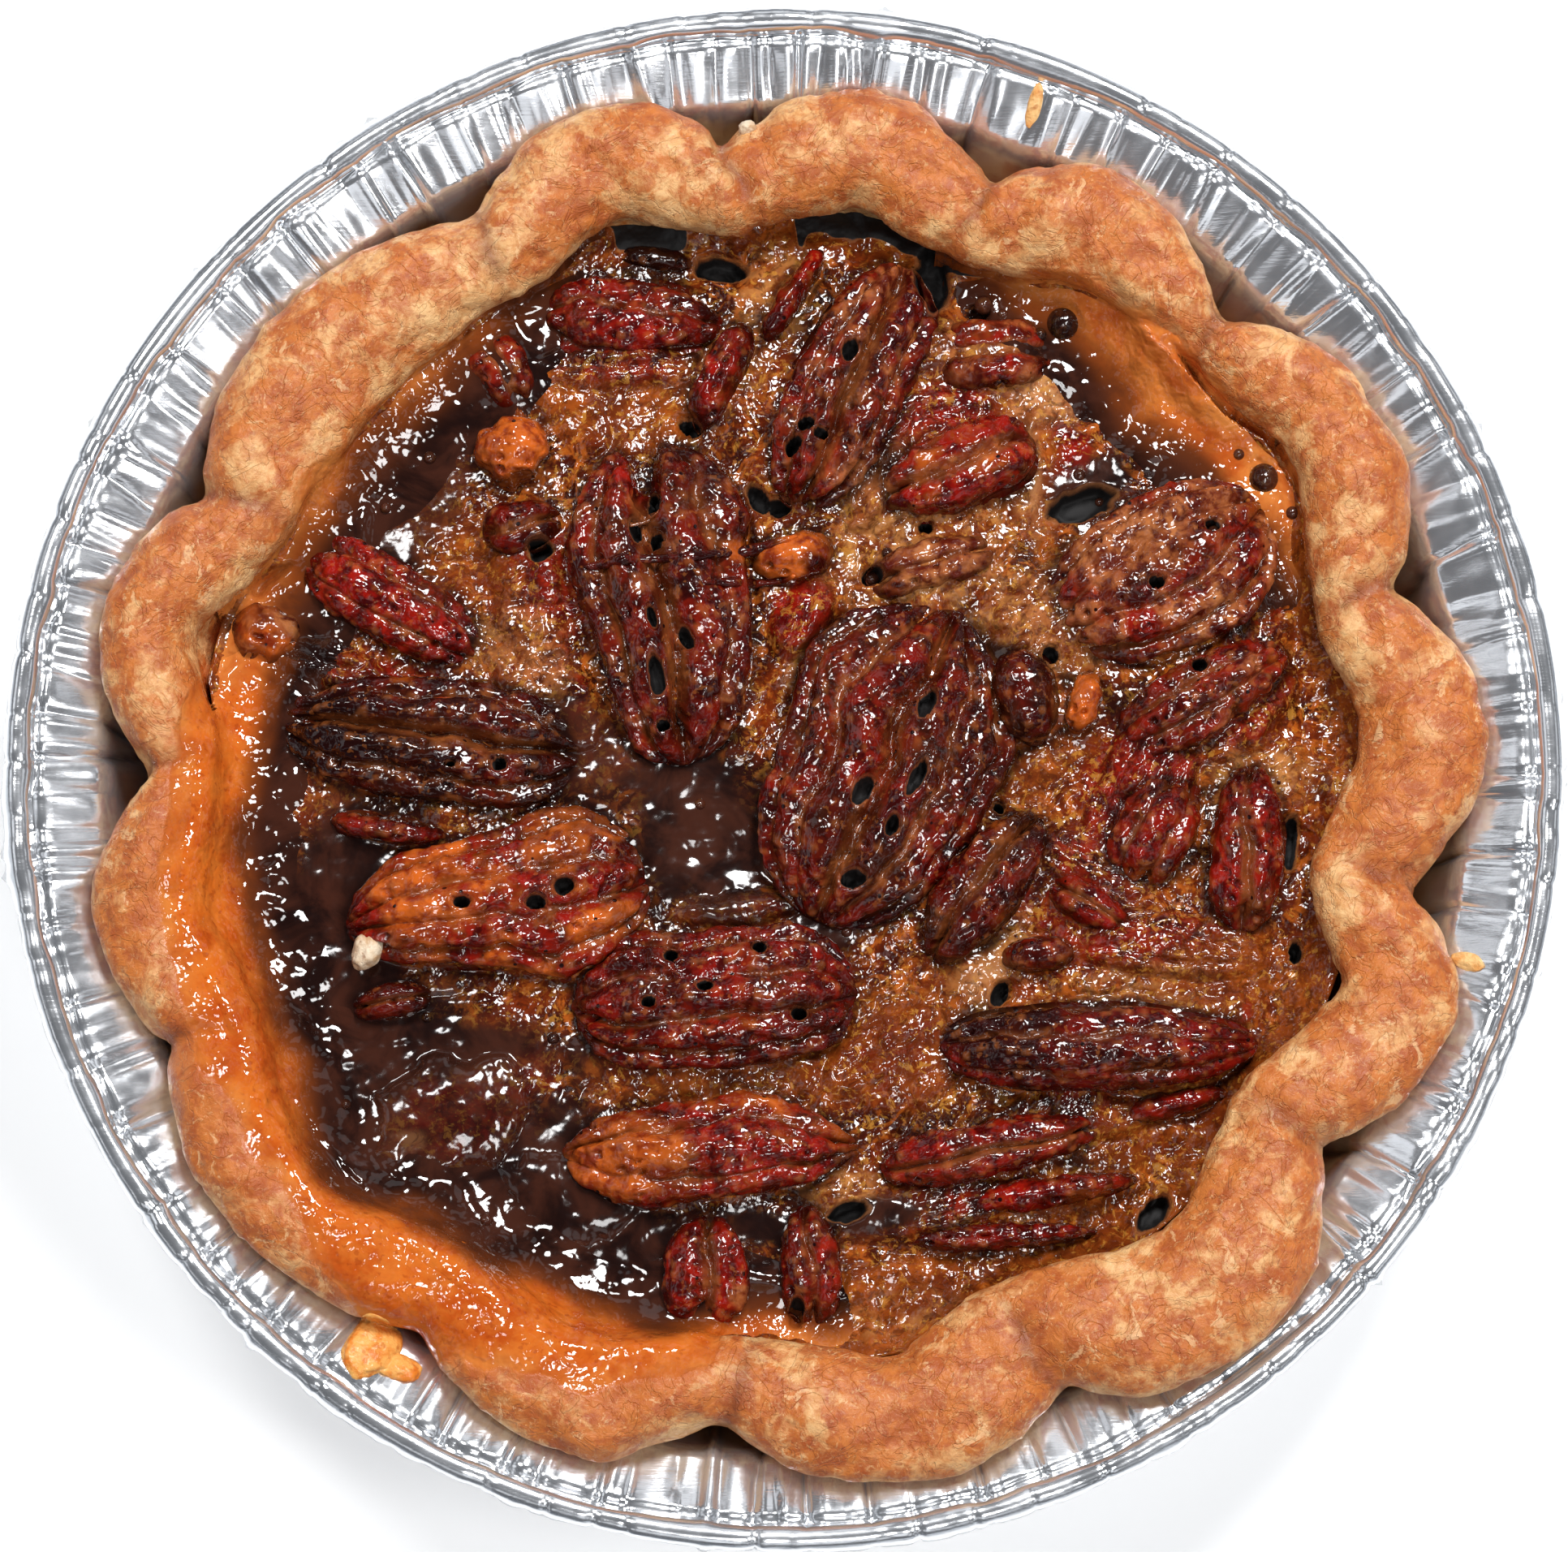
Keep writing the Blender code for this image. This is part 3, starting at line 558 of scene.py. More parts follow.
class Bench:
    """Adds nodes to one node tree, where a value is a number, a colour or a node's output."""

    def __init__(self, tree, where=None):
        self.tree = tree
        self.where = where

    def feed(self, socket, value):
        """Links or sets a socket. Three numbers are a colour from 0 to 255, and four are linear."""
        if isinstance(value, bpy.types.NodeSocket):
            self.tree.links.new(value, socket)
        elif isinstance(value, tuple) and len(value) == 3:
            socket.default_value = colour(*value)
        else:
            socket.default_value = value

    def add(self, kind, settings=None, **inputs):
        node = self.tree.nodes.new("ShaderNode" + kind)
        for key, value in (settings or {}).items():
            setattr(node, key, value)
        for key, value in inputs.items():
            self.feed(node.inputs[key.replace("_", " ")], value)
        return node

    def math(self, kind, first, second):
        node = self.add("Math", {"operation": kind})
        self.feed(node.inputs[0], first)
        self.feed(node.inputs[1], second)
        return node.outputs[0]

    def times(self, first, second):
        return self.math("MULTIPLY", first, second)

    def plus(self, first, second):
        return self.math("ADD", first, second)

    def mix(self, factor, first, second):
        node = self.add("Mix", {"data_type": "RGBA"})
        for index, value in ((0, factor), (6, first), (7, second)):
            self.feed(node.inputs[index], value)
        return node.outputs[2]

    def layers(self, tone, *laid):
        """Lays colours over a tone in turn: what each covers, how strongly, and the colour."""
        for cover, strength, shade in laid:
            tone = self.mix(self.times(cover, strength) if strength != 1 else cover, tone, shade)
        return tone

    def span(self, value, low, high, to_low=0.0, to_high=1.0):
        ends = {"From_Min": low, "From_Max": high, "To_Min": to_low, "To_Max": to_high}
        smooth = {"interpolation_type": "SMOOTHSTEP"}
        return self.add("MapRange", smooth, Value=value, **ends).outputs["Result"]

    def grain(self, size, detail=2.0, roughness=0.5, distortion=0.0, where=None):
        """Noise whose lumps are so many millimetres across."""
        place = self.where if where is None else where
        kind = {"Detail": detail, "Roughness": roughness, "Distortion": distortion}
        return self.add("TexNoise", Vector=place, Scale=1.0 / (size * MM), **kind).outputs["Fac"]

    def cells(self, size, output="Distance"):
        node = self.add("TexVoronoi", Vector=self.where, Scale=1.0 / (size * MM))
        return node.outputs[output]

    def mask(self, name):
        return self.add("Attribute", {"attribute_name": name}).outputs["Fac"]


def new_group(name, inputs, outputs):
    """An effect with named inputs and outputs: (its bench, its inputs, what it puts out)."""
    tree = bpy.data.node_groups.new(name, "ShaderNodeTree")
    tree.interface.new_socket("Vector", in_out="INPUT", socket_type="NodeSocketVector")
    for label in inputs:
        socket = tree.interface.new_socket(label, in_out="INPUT", socket_type="NodeSocketFloat")
        socket.default_value = 1.0
    for label in outputs:
        tree.interface.new_socket(label, in_out="OUTPUT", socket_type="NodeSocketFloat")
    given = tree.nodes.new("NodeGroupInput").outputs
    made = tree.nodes.new("NodeGroupOutput").inputs
    return Bench(tree, given["Vector"]), given, made


def bubble_glaze_group():
    """Fine set bubbles in a glaze: their height, and a mask of the tiny burst ones."""
    bench, given, made = new_group("bubble_glaze", ("Coarse", "Fine"), ("Height", "Burst"))
    height = bench.times(bench.grain(1.7, 1.0, 0.5, 0.5), given["Coarse"])
    beads = bench.span(bench.cells(1.25), 0.75, 0.05, 0.0, 0.4)
    for detail, share in ((beads, 0.75), (bench.grain(0.5, 0.0), 0.34)):
        height = bench.plus(height, bench.times(bench.times(detail, given["Fine"]), share))
    which = bench.add("SeparateColor", Color=bench.cells(1.7, output="Color")).outputs[0]
    burst = bench.times(bench.span(bench.cells(1.7), 0.17, 0.11), bench.span(which, 0.62, 0.66))
    bench.feed(made["Height"], height)
    bench.feed(made["Burst"], burst)
    return bench.tree


def mottling_group():
    """Blotches of two sizes and specks, each as a mask."""
    names = ("Large", "Small", "Specks")
    bench, given, made = new_group("mottling", ("Amount",), names)
    large = bench.span(bench.grain(6.5, 4.0, 0.62, 0.5), 0.36, 0.64)
    small = bench.span(bench.grain(1.9, 3.0, 0.6, 0.4), 0.38, 0.64)
    specks = bench.span(bench.grain(0.8, 2.0, 0.5), 0.60, 0.68)
    for name, value in zip(names, (large, small, specks)):
        bench.feed(made[name], bench.times(value, given["Amount"]))
    return bench.tree


def new_finish(name, **shader_values):
    """A plain finish with its own bench: (finish, bench, shader)."""
    look = bpy.data.materials.new(name)
    look.use_nodes = True
    shader = look.node_tree.nodes["Principled BSDF"]
    for key, value in shader_values.items():
        shader.inputs[key.replace("_", " ")].default_value = value
    bench = Bench(look.node_tree)
    bench.where = bench.add("TexCoord").outputs["Object"]
    return look, bench, shader


def mottle(bench, groups):
    placed = bench.add("Group", {"node_tree": groups["mottling"]}, Vector=bench.where, Amount=1.0)
    return tuple(placed.outputs[name] for name in ("Large", "Small", "Specks"))


def bubble(bench, groups, fine=1.0):
    group = {"node_tree": groups["bubbles"]}
    return bench.add("Group", group, Vector=bench.where, Coarse=1.0, Fine=fine).outputs


def bump(bench, shader, height, distance, strength=1.0):
    node = bench.add("Bump", Strength=strength, Distance=distance * MM, Height=height)
    bench.feed(shader.inputs["Normal"], node.outputs["Normal"])


def pool_tone(bench, mottled):
    """Clear dark syrup."""
    return bench.mix(mottled[0], (28, 13, 10), (64, 33, 23))


def glaze_tone(bench, mottled):
    """Orange glaze, deeper where it lies thick."""
    large, small, specks = mottled
    thick = bench.layers(
        bench.mix(large, (208, 102, 30), (180, 74, 20)),
        (small, 0.35, (216, 128, 52)),
        (specks, 0.4, (138, 44, 14)),
    )
    thin = bench.mix(large, (212, 132, 64), (180, 88, 34))
    return bench.mix(bench.mask("thin"), thick, thin)


def open_holes(bench, shader, tone, lip, lip_strength, gloss):
    """Ends a glossy finish that has holes: dark with painted shade and dull inside, with a paler lip."""
    hole = bench.mask("hole")
    inside = bench.span(hole, 0.47, 0.53)
    at_lip = bench.span(hole, 0.36, 0.46)
    # The inside of each hole is painted near black, as shade.
    tone = bench.layers(tone, (at_lip, lip_strength, lip), (inside, 1, (6, 2, 2)))
    bench.feed(shader.inputs["Base Color"], tone)
    bench.feed(shader.inputs["Roughness"], bench.span(inside, 0.0, 1.0, gloss, 0.7))


def filling_finish(groups):
    look, bench, shader = new_finish("set_syrup", IOR=1.5, Specular_IOR_Level=0.5, Roughness=0.07)
    mottled, bubbles = mottle(bench, groups), bubble(bench, groups)
    large, small, specks = mottled
    streaks = bench.span(bench.grain(3.4, 3.0, 0.6, 2.2), 0.47, 0.62)
    dark = bench.span(bench.grain(1.5, 4.0, 0.7, 1.0), 0.50, 0.62)
    golden = bench.span(bench.grain(1.2, 4.0, 0.75, 0.6), 0.54, 0.64)
    skin = bench.mix(small, (50, 9, 6), (138, 34, 14))
    amber = bench.mix(large, (168, 82, 24), (112, 46, 14))
    foam = bench.mix(small, (126, 60, 22), (222, 150, 82))
    foam = bench.layers(foam, (large, 0.5, (98, 34, 14)), (bubbles["Burst"], 1, (52, 16, 12)))
    tone = bench.layers(
        bench.mix(large, (48, 14, 5), (124, 46, 12)),
        (streaks, 1, (176, 88, 26)),
        (small, 0.6, (70, 16, 7)),
        (specks, 0.45, (200, 128, 62)),
        (bench.mask("nut"), 1, bench.layers(skin, (specks, 0.5, (196, 122, 78)))),
        (bench.mask("ruby"), 1, bench.mix(small, (84, 8, 6), (150, 26, 12))),
        (bench.mask("amber"), 1, bench.layers(amber, (small, 0.55, (84, 32, 12)))),
        (bench.mask("foam"), 1, foam),
        (bench.mask("cream"), 0.8, bench.mix(small, (212, 150, 96), (156, 86, 44))),
        (dark, 0.55, (52, 17, 7)),
        (golden, 0.5, (210, 146, 58)),
        (bench.mask("syrup"), 1, pool_tone(bench, mottled)),
        # Painted contact shade: near black on the filling beside the bare nuts.
        (bench.mask("nut_contact_shade"), 1, (24, 8, 5)),
    )
    open_holes(bench, shader, tone, (170, 112, 70), 0.45, 0.12)
    calm = bench.span(bench.mask("calm"), 0.0, 1.0, 1.0, 0.16)
    bump(bench, shader, bench.times(bubbles["Height"], calm), 0.2)
    return look


def pecan_finish(groups):
    look, bench, shader = new_finish("glazed_pecan", IOR=1.5, Specular_IOR_Level=0.5, Roughness=0.07)
    large, small, specks = mottle(bench, groups)
    bubbles = bubble(bench, groups)
    foam = bench.mix(small, (92, 32, 16), (192, 118, 66))
    tone = bench.layers(
        bench.mix(small, (40, 6, 3), (108, 28, 9)),
        (bench.mask("ruby"), 1, bench.mix(small, (72, 5, 4), (150, 20, 9))),
        (bench.mask("toast"), 1, bench.mix(small, (206, 98, 30), (132, 44, 14))),
        (bench.mask("char"), 1, (30, 6, 4)),
        (bench.mask("groove"), 0.8, bench.mix(large, (84, 34, 14), (140, 78, 38))),
        (bench.mask("foam"), 1, bench.layers(foam, (large, 0.5, (104, 24, 14)))),
        (specks, 0.2, (204, 120, 60)),
        (bench.mask("sugar"), 0.26, (196, 112, 56)),
        (bubbles["Burst"], 1, (28, 6, 6)),
        # Painted contact shade: darker at the foot of each nut, where it meets the filling.
        (bench.mask("foot_shade"), 0.6, (26, 7, 4)),
    )
    open_holes(bench, shader, tone, (160, 96, 62), 0.4, 0.13)
    bump(bench, shader, bubbles["Height"], 0.18)
    return look


def crust_finish(groups):
    look, bench, shader = new_finish("baked_crust", IOR=1.45, Specular_IOR_Level=0.4, Roughness=0.45)
    mottled, bubbles = mottle(bench, groups), bubble(bench, groups, 0.7)
    small, specks = mottled[1:]
    broad = bench.span(bench.grain(9.0, 5.0, 0.62, 0.4), 0.40, 0.60)
    patchy = bench.span(bench.grain(4.0, 5.0, 0.68, 0.6), 0.42, 0.60)
    baked = bench.plus(bench.plus(broad, bench.times(patchy, 0.8)), bench.mask("browned"))
    rosy = bench.span(bench.grain(6.0, 5.0, 0.7, 0.4), 0.57, 0.66)
    flakes = bench.span(bench.grain(3.4, 5.0, 0.74, 0.8), 0.59, 0.64)
    crumbly = bench.span(bench.grain(1.0, 5.0, 0.8), 0.46, 0.62)
    floury = bench.span(bench.grain(0.8, 5.0, 0.8, 1.0), 0.54, 0.66)
    under = bench.span(bench.grain(2.2, 3.0, 0.6), 0.3, 0.7, 0.7, 1.0)
    glaze = bench.span(bench.mask("glaze"), 0.3, 0.6)
    tone = bench.layers(
        bench.mix(small, (233, 184, 126), (219, 157, 96)),
        (bench.span(baked, 0.3, 1.5), 1, bench.mix(small, (202, 116, 52), (172, 86, 40))),
        (rosy, 0.5, (176, 90, 44)),
        (flakes, 0.6, (238, 194, 142)),
        (crumbly, 0.36, (178, 100, 46)),
        (floury, 0.4, (238, 196, 138)),
        (specks, 0.35, (148, 72, 40)),
        # Painted shade: dark brown along the creases at the notches.
        (bench.mask("crease_shade"), 1, (122, 62, 34)),
        (bench.times(bench.mask("soaked"), under), 1, (186, 88, 30)),
        (glaze, 0.95, glaze_tone(bench, mottled)),
    )
    bench.feed(shader.inputs["Base Color"], tone)
    bench.feed(shader.inputs["Roughness"], bench.span(glaze, 0.0, 1.0, 0.40, 0.07))
    off_line = bench.math("SUBTRACT", bench.grain(4.2, 3.0, 0.6, 1.0), 0.5)
    cracks = bench.span(bench.math("ABSOLUTE", off_line, 0.0), 0.0, 0.018)
    dry = bench.plus(bench.grain(1.3, 4.0, 0.65, 0.6), bench.times(cracks, 0.18))
    height = bench.times(dry, bench.span(glaze, 0.0, 1.0, 0.9, 0.05))
    height = bench.plus(height, bench.times(bubbles["Height"], bench.times(glaze, 0.7)))
    bump(bench, shader, height, 0.34)
    return look


def glaze_finish(groups):
    look, bench, shader = new_finish("run_glaze", IOR=1.48, Specular_IOR_Level=0.5, Roughness=0.07)
    mottled, bubbles = mottle(bench, groups), bubble(bench, groups, 0.7)
    deep = bench.mask("deep")
    tone = bench.layers(
        glaze_tone(bench, mottled),
        (bench.span(deep, 0.0, 0.55), 1, bench.mix(mottled[0], (126, 60, 22), (92, 44, 20))),
        (bench.span(deep, 0.45, 1.0), 1, pool_tone(bench, mottled)),
    )
    bench.feed(shader.inputs["Base Color"], tone)
    live = bench.span(deep, 0.2, 0.9, 1.0, 0.25)
    bump(bench, shader, bench.times(bubbles["Height"], live), 0.24)
    return look


def crumb_finish(name, light, dark, fleck, roughness, groups):
    look, bench, shader = new_finish(name, Roughness=roughness, IOR=1.4)
    _, small, specks = mottle(bench, groups)
    tone = bench.layers(bench.mix(small, light, dark), (specks, 0.5, fleck))
    bench.feed(shader.inputs["Base Color"], tone)
    bump(bench, shader, bench.grain(0.6, 3.0, 0.6), 0.2)
    return look


def foil_finish():
    """Bright metal with faint rolling lines and smudges, darker along the folds of its wall with painted
    shade.
    """
    look, bench, shader = new_finish("rolled_foil", Metallic=0.86, Roughness=0.22)
    stretch = {"Scale": (0.06, 1.0, 0.5), "Rotation": (0, 0, 0.12)}
    lined = bench.tree.nodes.new("ShaderNodeMapping")
    bench.feed(lined.inputs["Vector"], bench.where)
    for label, value in stretch.items():
        lined.inputs[label].default_value = value
    lines = bench.grain(0.35, 3.0, 0.6, where=lined.outputs["Vector"])
    smudge = bench.grain(5.0, 3.0, 0.6)
    bench.feed(shader.inputs["Roughness"], bench.span(smudge, 0.3, 0.7, 0.14, 0.25))
    # Painted shade: the metal's colour darkens along the folds.
    metal = bench.mix(bench.mask("fold_shade"), (0.79, 0.81, 0.84, 1.0), (0.30, 0.32, 0.36, 1.0))
    bench.feed(shader.inputs["Base Color"], metal)
    bump(bench, shader, lines, 0.03, 0.6)
    return look


# ---------------------------------------------------------------- foil tin

TIN_SEGMENTS = 1200
TIN_FOIL = 0.25
TIN_LEAN = 0.5
BEAD_RADIUS = 1.4
BEAD_MIDDLE = (78.0, 30.1)
BEAD_TURN = range(170, -121, -29)
FLARE_RADIUS = 75.0
# Section of the tin from the middle of its base to the channel inside its bead, and how many
# rows of faces each step has.
TIN_SECTION = (
    (20.0, 0.12, 1),
    (45.0, 0.12, 1),
    (58.4, 0.15, 1),
    (60.3, 1.8, 2),
    (69.7, 27.2, 9),
    (75.2, 29.7, 8),
    (75.9, 29.9, 1),
    (76.5, 29.3, 1),
)


def tin_rings():
    rings = []
    last = (0.0, TIN_SECTION[0][1])
    for radius, height, rows in TIN_SECTION:
        for row in range(1, rows + 1):
            share = row / rows
            rings.append((last[0] + (radius - last[0]) * share, last[1] + (height - last[1]) * share))
        last = (radius, height)
    roll = BEAD_RADIUS - TIN_FOIL
    for turn in map(math.radians, BEAD_TURN):
        rings.append((BEAD_MIDDLE[0] + roll * math.cos(turn), BEAD_MIDDLE[1] + roll * math.sin(turn)))
    return rings


def fold_lines(points, rng, count, width, depth, reach):
    """Sharp folds running up the wall at uneven spaces, each slanted a little."""
    angles, radii = angle_of(points), radius_of(points)
    up = ease(points[:, 2], *reach)
    total = np.zeros(len(points))
    starts = np.arange(count) * 360.0 / count + rng.uniform(-0.42, 0.42, count) * 360.0 / count
    for start in starts:
        slant = rng.normal(0.0, 0.55)
        wide = width * rng.uniform(0.6, 1.5)
        deep = depth * rng.uniform(0.35, 1.0) * rng.choice((-1.0, 1.0), p=(0.7, 0.3))
        away = degrees_from(angles, start + slant * (points[:, 2] - 27.0) / 4.0)
        near = np.abs(away) < 6.0
        arc = np.radians(np.abs(away[near])) * radii[near]
        total[near] += deep * np.exp(-arc / wide) * up[near]
    return total


def crimp_tin(tin):
    """Pleats the flared wall, runs the main folds down the steep wall and dents the bead."""
    rng = np.random.default_rng(11)
    points, normals = points_of(tin), normals_of(tin)
    height, radii = points[:, 2], radius_of(points)
    turn = np.radians(angle_of(points))
    flare = between(height, 26.6, 27.6, 29.5, 30.4)
    wall = between(height, 1.5, 5.0, 29.9, 30.6)
    dent = fold_lines(points, rng, 74, 0.42, 0.95, (2.0, 26.0)) * wall
    # Painted shade along the steep wall's folds, by how deep each fold is.
    paint(tin, "fold_shade", np.clip(np.abs(dent) / 0.5, 0.0, 1.0) * between(height, 3.0, 9.0, 25.6, 27.0))
    dent += fold_lines(points, rng, 170, 0.30, 0.42, (26.4, 27.6)) * flare
    rings = np.stack([turn * FLARE_RADIUS, height * 0.30, np.zeros(len(points))], axis=1)
    dent += lumps(rings, 2.6, 21) * 0.26 * flare
    dent += lumps(rings * np.array([1.0, 3.0, 1.0]), 1.5, 25) * 0.09 * flare
    dent += lumps(rings, 7.0, 22) * 0.30 * wall
    moved = points + normals * dent[:, None]
    ticks = fold_lines(points, rng, 90, 0.28, 0.32, (28.4, 29.4))
    swell = lumps(np.stack([turn * FLARE_RADIUS] * 3, axis=1), 3.4, 23) * 0.16
    push = np.minimum(ticks + swell, 0.0) * ease(height, 28.4, 29.6)
    wavy = lumps(rings * np.array([1.0, 0.0, 0.0]), 4.2, 24) * 0.28
    outward = push * ease(radii, 76.0, 79.0) + wavy * between(radii, 75.4, 75.9, 76.8, 77.4)
    moved[:, 0] += outward * np.cos(turn)
    moved[:, 1] += outward * np.sin(turn) + TIN_LEAN * ease(height, 4.0, 28.0)
    moved[:, 2] += push * ease(height, 30.0, 31.0) * 1.2
    set_points(tin, moved)


def make_tin(look):
    put_down()
    first, *others = tin_rings()
    place = (0.0, 0.0, first[1] * MM)
    bpy.ops.mesh.primitive_circle_add(
        vertices=TIN_SEGMENTS, radius=first[0] * MM, fill_type="TRIFAN", location=place
    )
    tin = newest("pleated_foil_tin")
    fix_place(tin)
    choose_open_edge(tin)
    last = first
    for ring in others:
        grow = ring[0] / last[0]
        extrude_to((grow, grow, 1.0), ring[1] - last[1], ring[1])
        last = ring
    bpy.ops.mesh.select_all(action="SELECT")
    bpy.ops.mesh.normals_make_consistent(inside=False)
    stop_editing()
    if tin.data.polygons[0].normal.z < 0.0:
        tin.data.flip_normals()
    crimp_tin(tin)
    apply_modifier(tin, "SOLIDIFY", thickness=TIN_FOIL * MM, offset=1.0)
    return dress(tin, look, "foil", "foil_tin")


# ---------------------------------------------------------------- crust

# Heights over which the reshaping of the rim sets in, and over which its dents do.
RIM_RISE = (22.0, 27.5)
RIM_EDGE = (20.0, 26.0)
RIM_MIDDLE = 64.0
RIM_HALF_WIDTH = 8.0
NOTCH_SLANT = 2.2
# Creases at each notch and beside it: degrees from the notch, and their share of its depth.
NOTCH_CREASES = ((0.0, 1.0), (-3.6, 0.35), (3.2, 0.3), (5.8, 0.16))
# Where the crust's lowest skin meets the tin's flare: radius, height and the flare's slope.
FLARE_FOOT = (69.7, 27.6)
FLARE_SLOPE = 0.455


def thin_glaze(within, body):
    """How thin the glaze lies this far inside its edge: 1 at the edge of a stain."""
    return np.clip(1.0 - body * (0.35 + 0.65 * ease(within, 0.0, 2.5)), 0.0, 1.0)


def notch_arcs(angles, radii, shift=0.0, wander=0.0):
    """For each notch of the rim: how far round from its slanted line points lie, and its depth."""
    for number, (notch, depth) in enumerate(NOTCHES):
        slant = NOTCH_SLANT * math.sin(3.7 * number)
        middle = notch + shift + slant * (RIM_MIDDLE - radii) / RIM_HALF_WIDTH + wander
        yield np.abs(np.radians(degrees_from(angles, middle)) * radii), depth


def fill_out_rim(points):
    """Gives the rim the width that smoothing took, and pinches it between its flutes."""
    angles, radii = angle_of(points), radius_of(points)
    fuller = around(RIM_FULLNESS, angles) * (0.7 + 0.3 * ease(radii, 56.0, 68.0))
    rim = ease(points[:, 2], *RIM_RISE)
    points[:, :2] *= (1.0 + fuller * rim / radii)[:, None]
    pinch = np.zeros(len(points))
    for arc, depth in notch_arcs(angles, radii):
        pinch = np.maximum(pinch, (0.5 + 0.6 * depth) * np.exp(-arc / 2.4))
    points[:, :2] *= (1.0 - 1.9 * pinch * rim * ease(radii, 60.0, 67.0) / radii)[:, None]
    points[:, 2] -= 0.9 * pinch * rim * ease(radii, 55.0, 62.0)
    return points


def crease_rim(points, normals):
    """Dents the rim unevenly, and folds it along and beside its notches."""
    angles, radii = angle_of(points), radius_of(points)
    dent = rough(points, 10.0, 31) * 0.8 + rough(points, 4.6, 35) * 0.4
    dent -= np.clip(1.0 - np.abs(rough(points, 8.0, 37)) / 0.14, 0.0, 1.0) * 0.42
    wander = 0.9 * lumps(points, 4.0, 51)
    for shift, share in NOTCH_CREASES:
        for arc, depth in notch_arcs(angles, radii, shift, wander):
            dent -= 1.3 * depth * share * np.exp(-((arc / 0.8) ** 1.4)) * ease(radii, 54.0, 61.0)
    return points + normals * (dent * ease(points[:, 2], *RIM_EDGE))[:, None]


def finish_crust(piece):
    """Gives the crust its fine flaking, rests it on the tin's flare and paints its masks, the painted shade
    of its creases among them.
    """
    points, normals = points_of(piece), normals_of(piece)
    angles, radii = angle_of(points), radius_of(points)
    rim = ease(points[:, 2], *RIM_EDGE)
    fine = rough(points * np.array([1.0, 1.0, 0.6]), 2.2, 41) * 0.15
    fine -= np.clip(1.0 - np.abs(rough(points, 7.0, 46)) / 0.06, 0.0, 1.0) * 0.16
    ledge = ease(rough(points, 5.0, 44), 0.12, 0.18) * 0.2
    crease_shade = np.zeros(len(points))
    for arc, _ in notch_arcs(angles, radii, wander=0.9 * lumps(points, 4.0, 51)):
        crease_shade = np.maximum(crease_shade, np.exp(-((arc / 0.7) ** 1.4)) * ease(radii, 55.0, 62.0))
    wander = 1.5 * lumps(points, 5.0, 61) + 0.6 * lumps(points, 2.0, 62)
    within = around(GLAZE_EDGE, angles) + wander - radii
    glaze = np.clip(0.5 + within / 4.0, 0.0, 1.0)
    smooth_over = 1.0 - ease(glaze, 0.45, 0.6)
    points = points + normals * ((fine + ledge) * rim * smooth_over)[:, None]
    over_flare = (radii > FLARE_FOOT[0] - 0.5) & (rim > 0.0)
    lifted = np.maximum(points[:, 2], FLARE_FOOT[1] + FLARE_SLOPE * (radii - FLARE_FOOT[0]))
    points[:, 2] = np.where(over_flare, lifted, points[:, 2])
    set_points(piece, points)
    body = around(GLAZE_BODY, angles)
    browned = 0.55 * ease(normals[:, 2], 0.1, 0.9) * ease(radii, 56.0, 64.0)
    paint(piece, "glaze", glaze)
    paint(piece, "thin", thin_glaze(within, body))
    paint(piece, "soaked", 0.8 * (1.0 - ease(-within, -2.0, 3.5)) * body)
    # Painted shade along the creases at the notches.
    paint(piece, "crease_shade", 0.8 * crease_shade * rim)
    paint(piece, "browned", browned + 0.25 * lumps(points, 12.0, 63))


def make_crust(look):
    put_down()
    piece = bpy.data.objects.new("fluted_crust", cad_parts["pastry_crust"].data.copy())
    bpy.context.scene.collection.objects.link(piece)
    start_editing(piece, "SELECT")
    bpy.ops.mesh.remove_doubles(threshold=MERGE)
    bpy.ops.mesh.tris_convert_to_quads(face_threshold=1.2, shape_threshold=1.2)
    stop_editing()
    apply_modifier(piece, "SUBSURF", levels=2, render_levels=2)
    set_points(piece, fill_out_rim(points_of(piece)))
    set_points(piece, crease_rim(points_of(piece), normals_of(piece)))
    apply_modifier(piece, "SUBSURF", levels=1, render_levels=1)
    finish_crust(piece)
    return dress(piece, look, "crust", "pastry_crust")


# ---------------------------------------------------------------- pecans

# Pecans longer than this have more faces (segments and rings) and deeper grooves.
LARGE_PECAN = 18.0
LARGE_FACES = (128, 96)
SMALL_FACES = (84, 60)
# Share of a pecan's faces that goes to its ridged upper side.
UPPER_SHARE = 0.72


def side_of(outline, along):
    """How far one side of a half stands out, at each share of its length from -1 to 1."""
    return np.interp(along, np.linspace(-1.0, 1.0, len(outline)), outline)


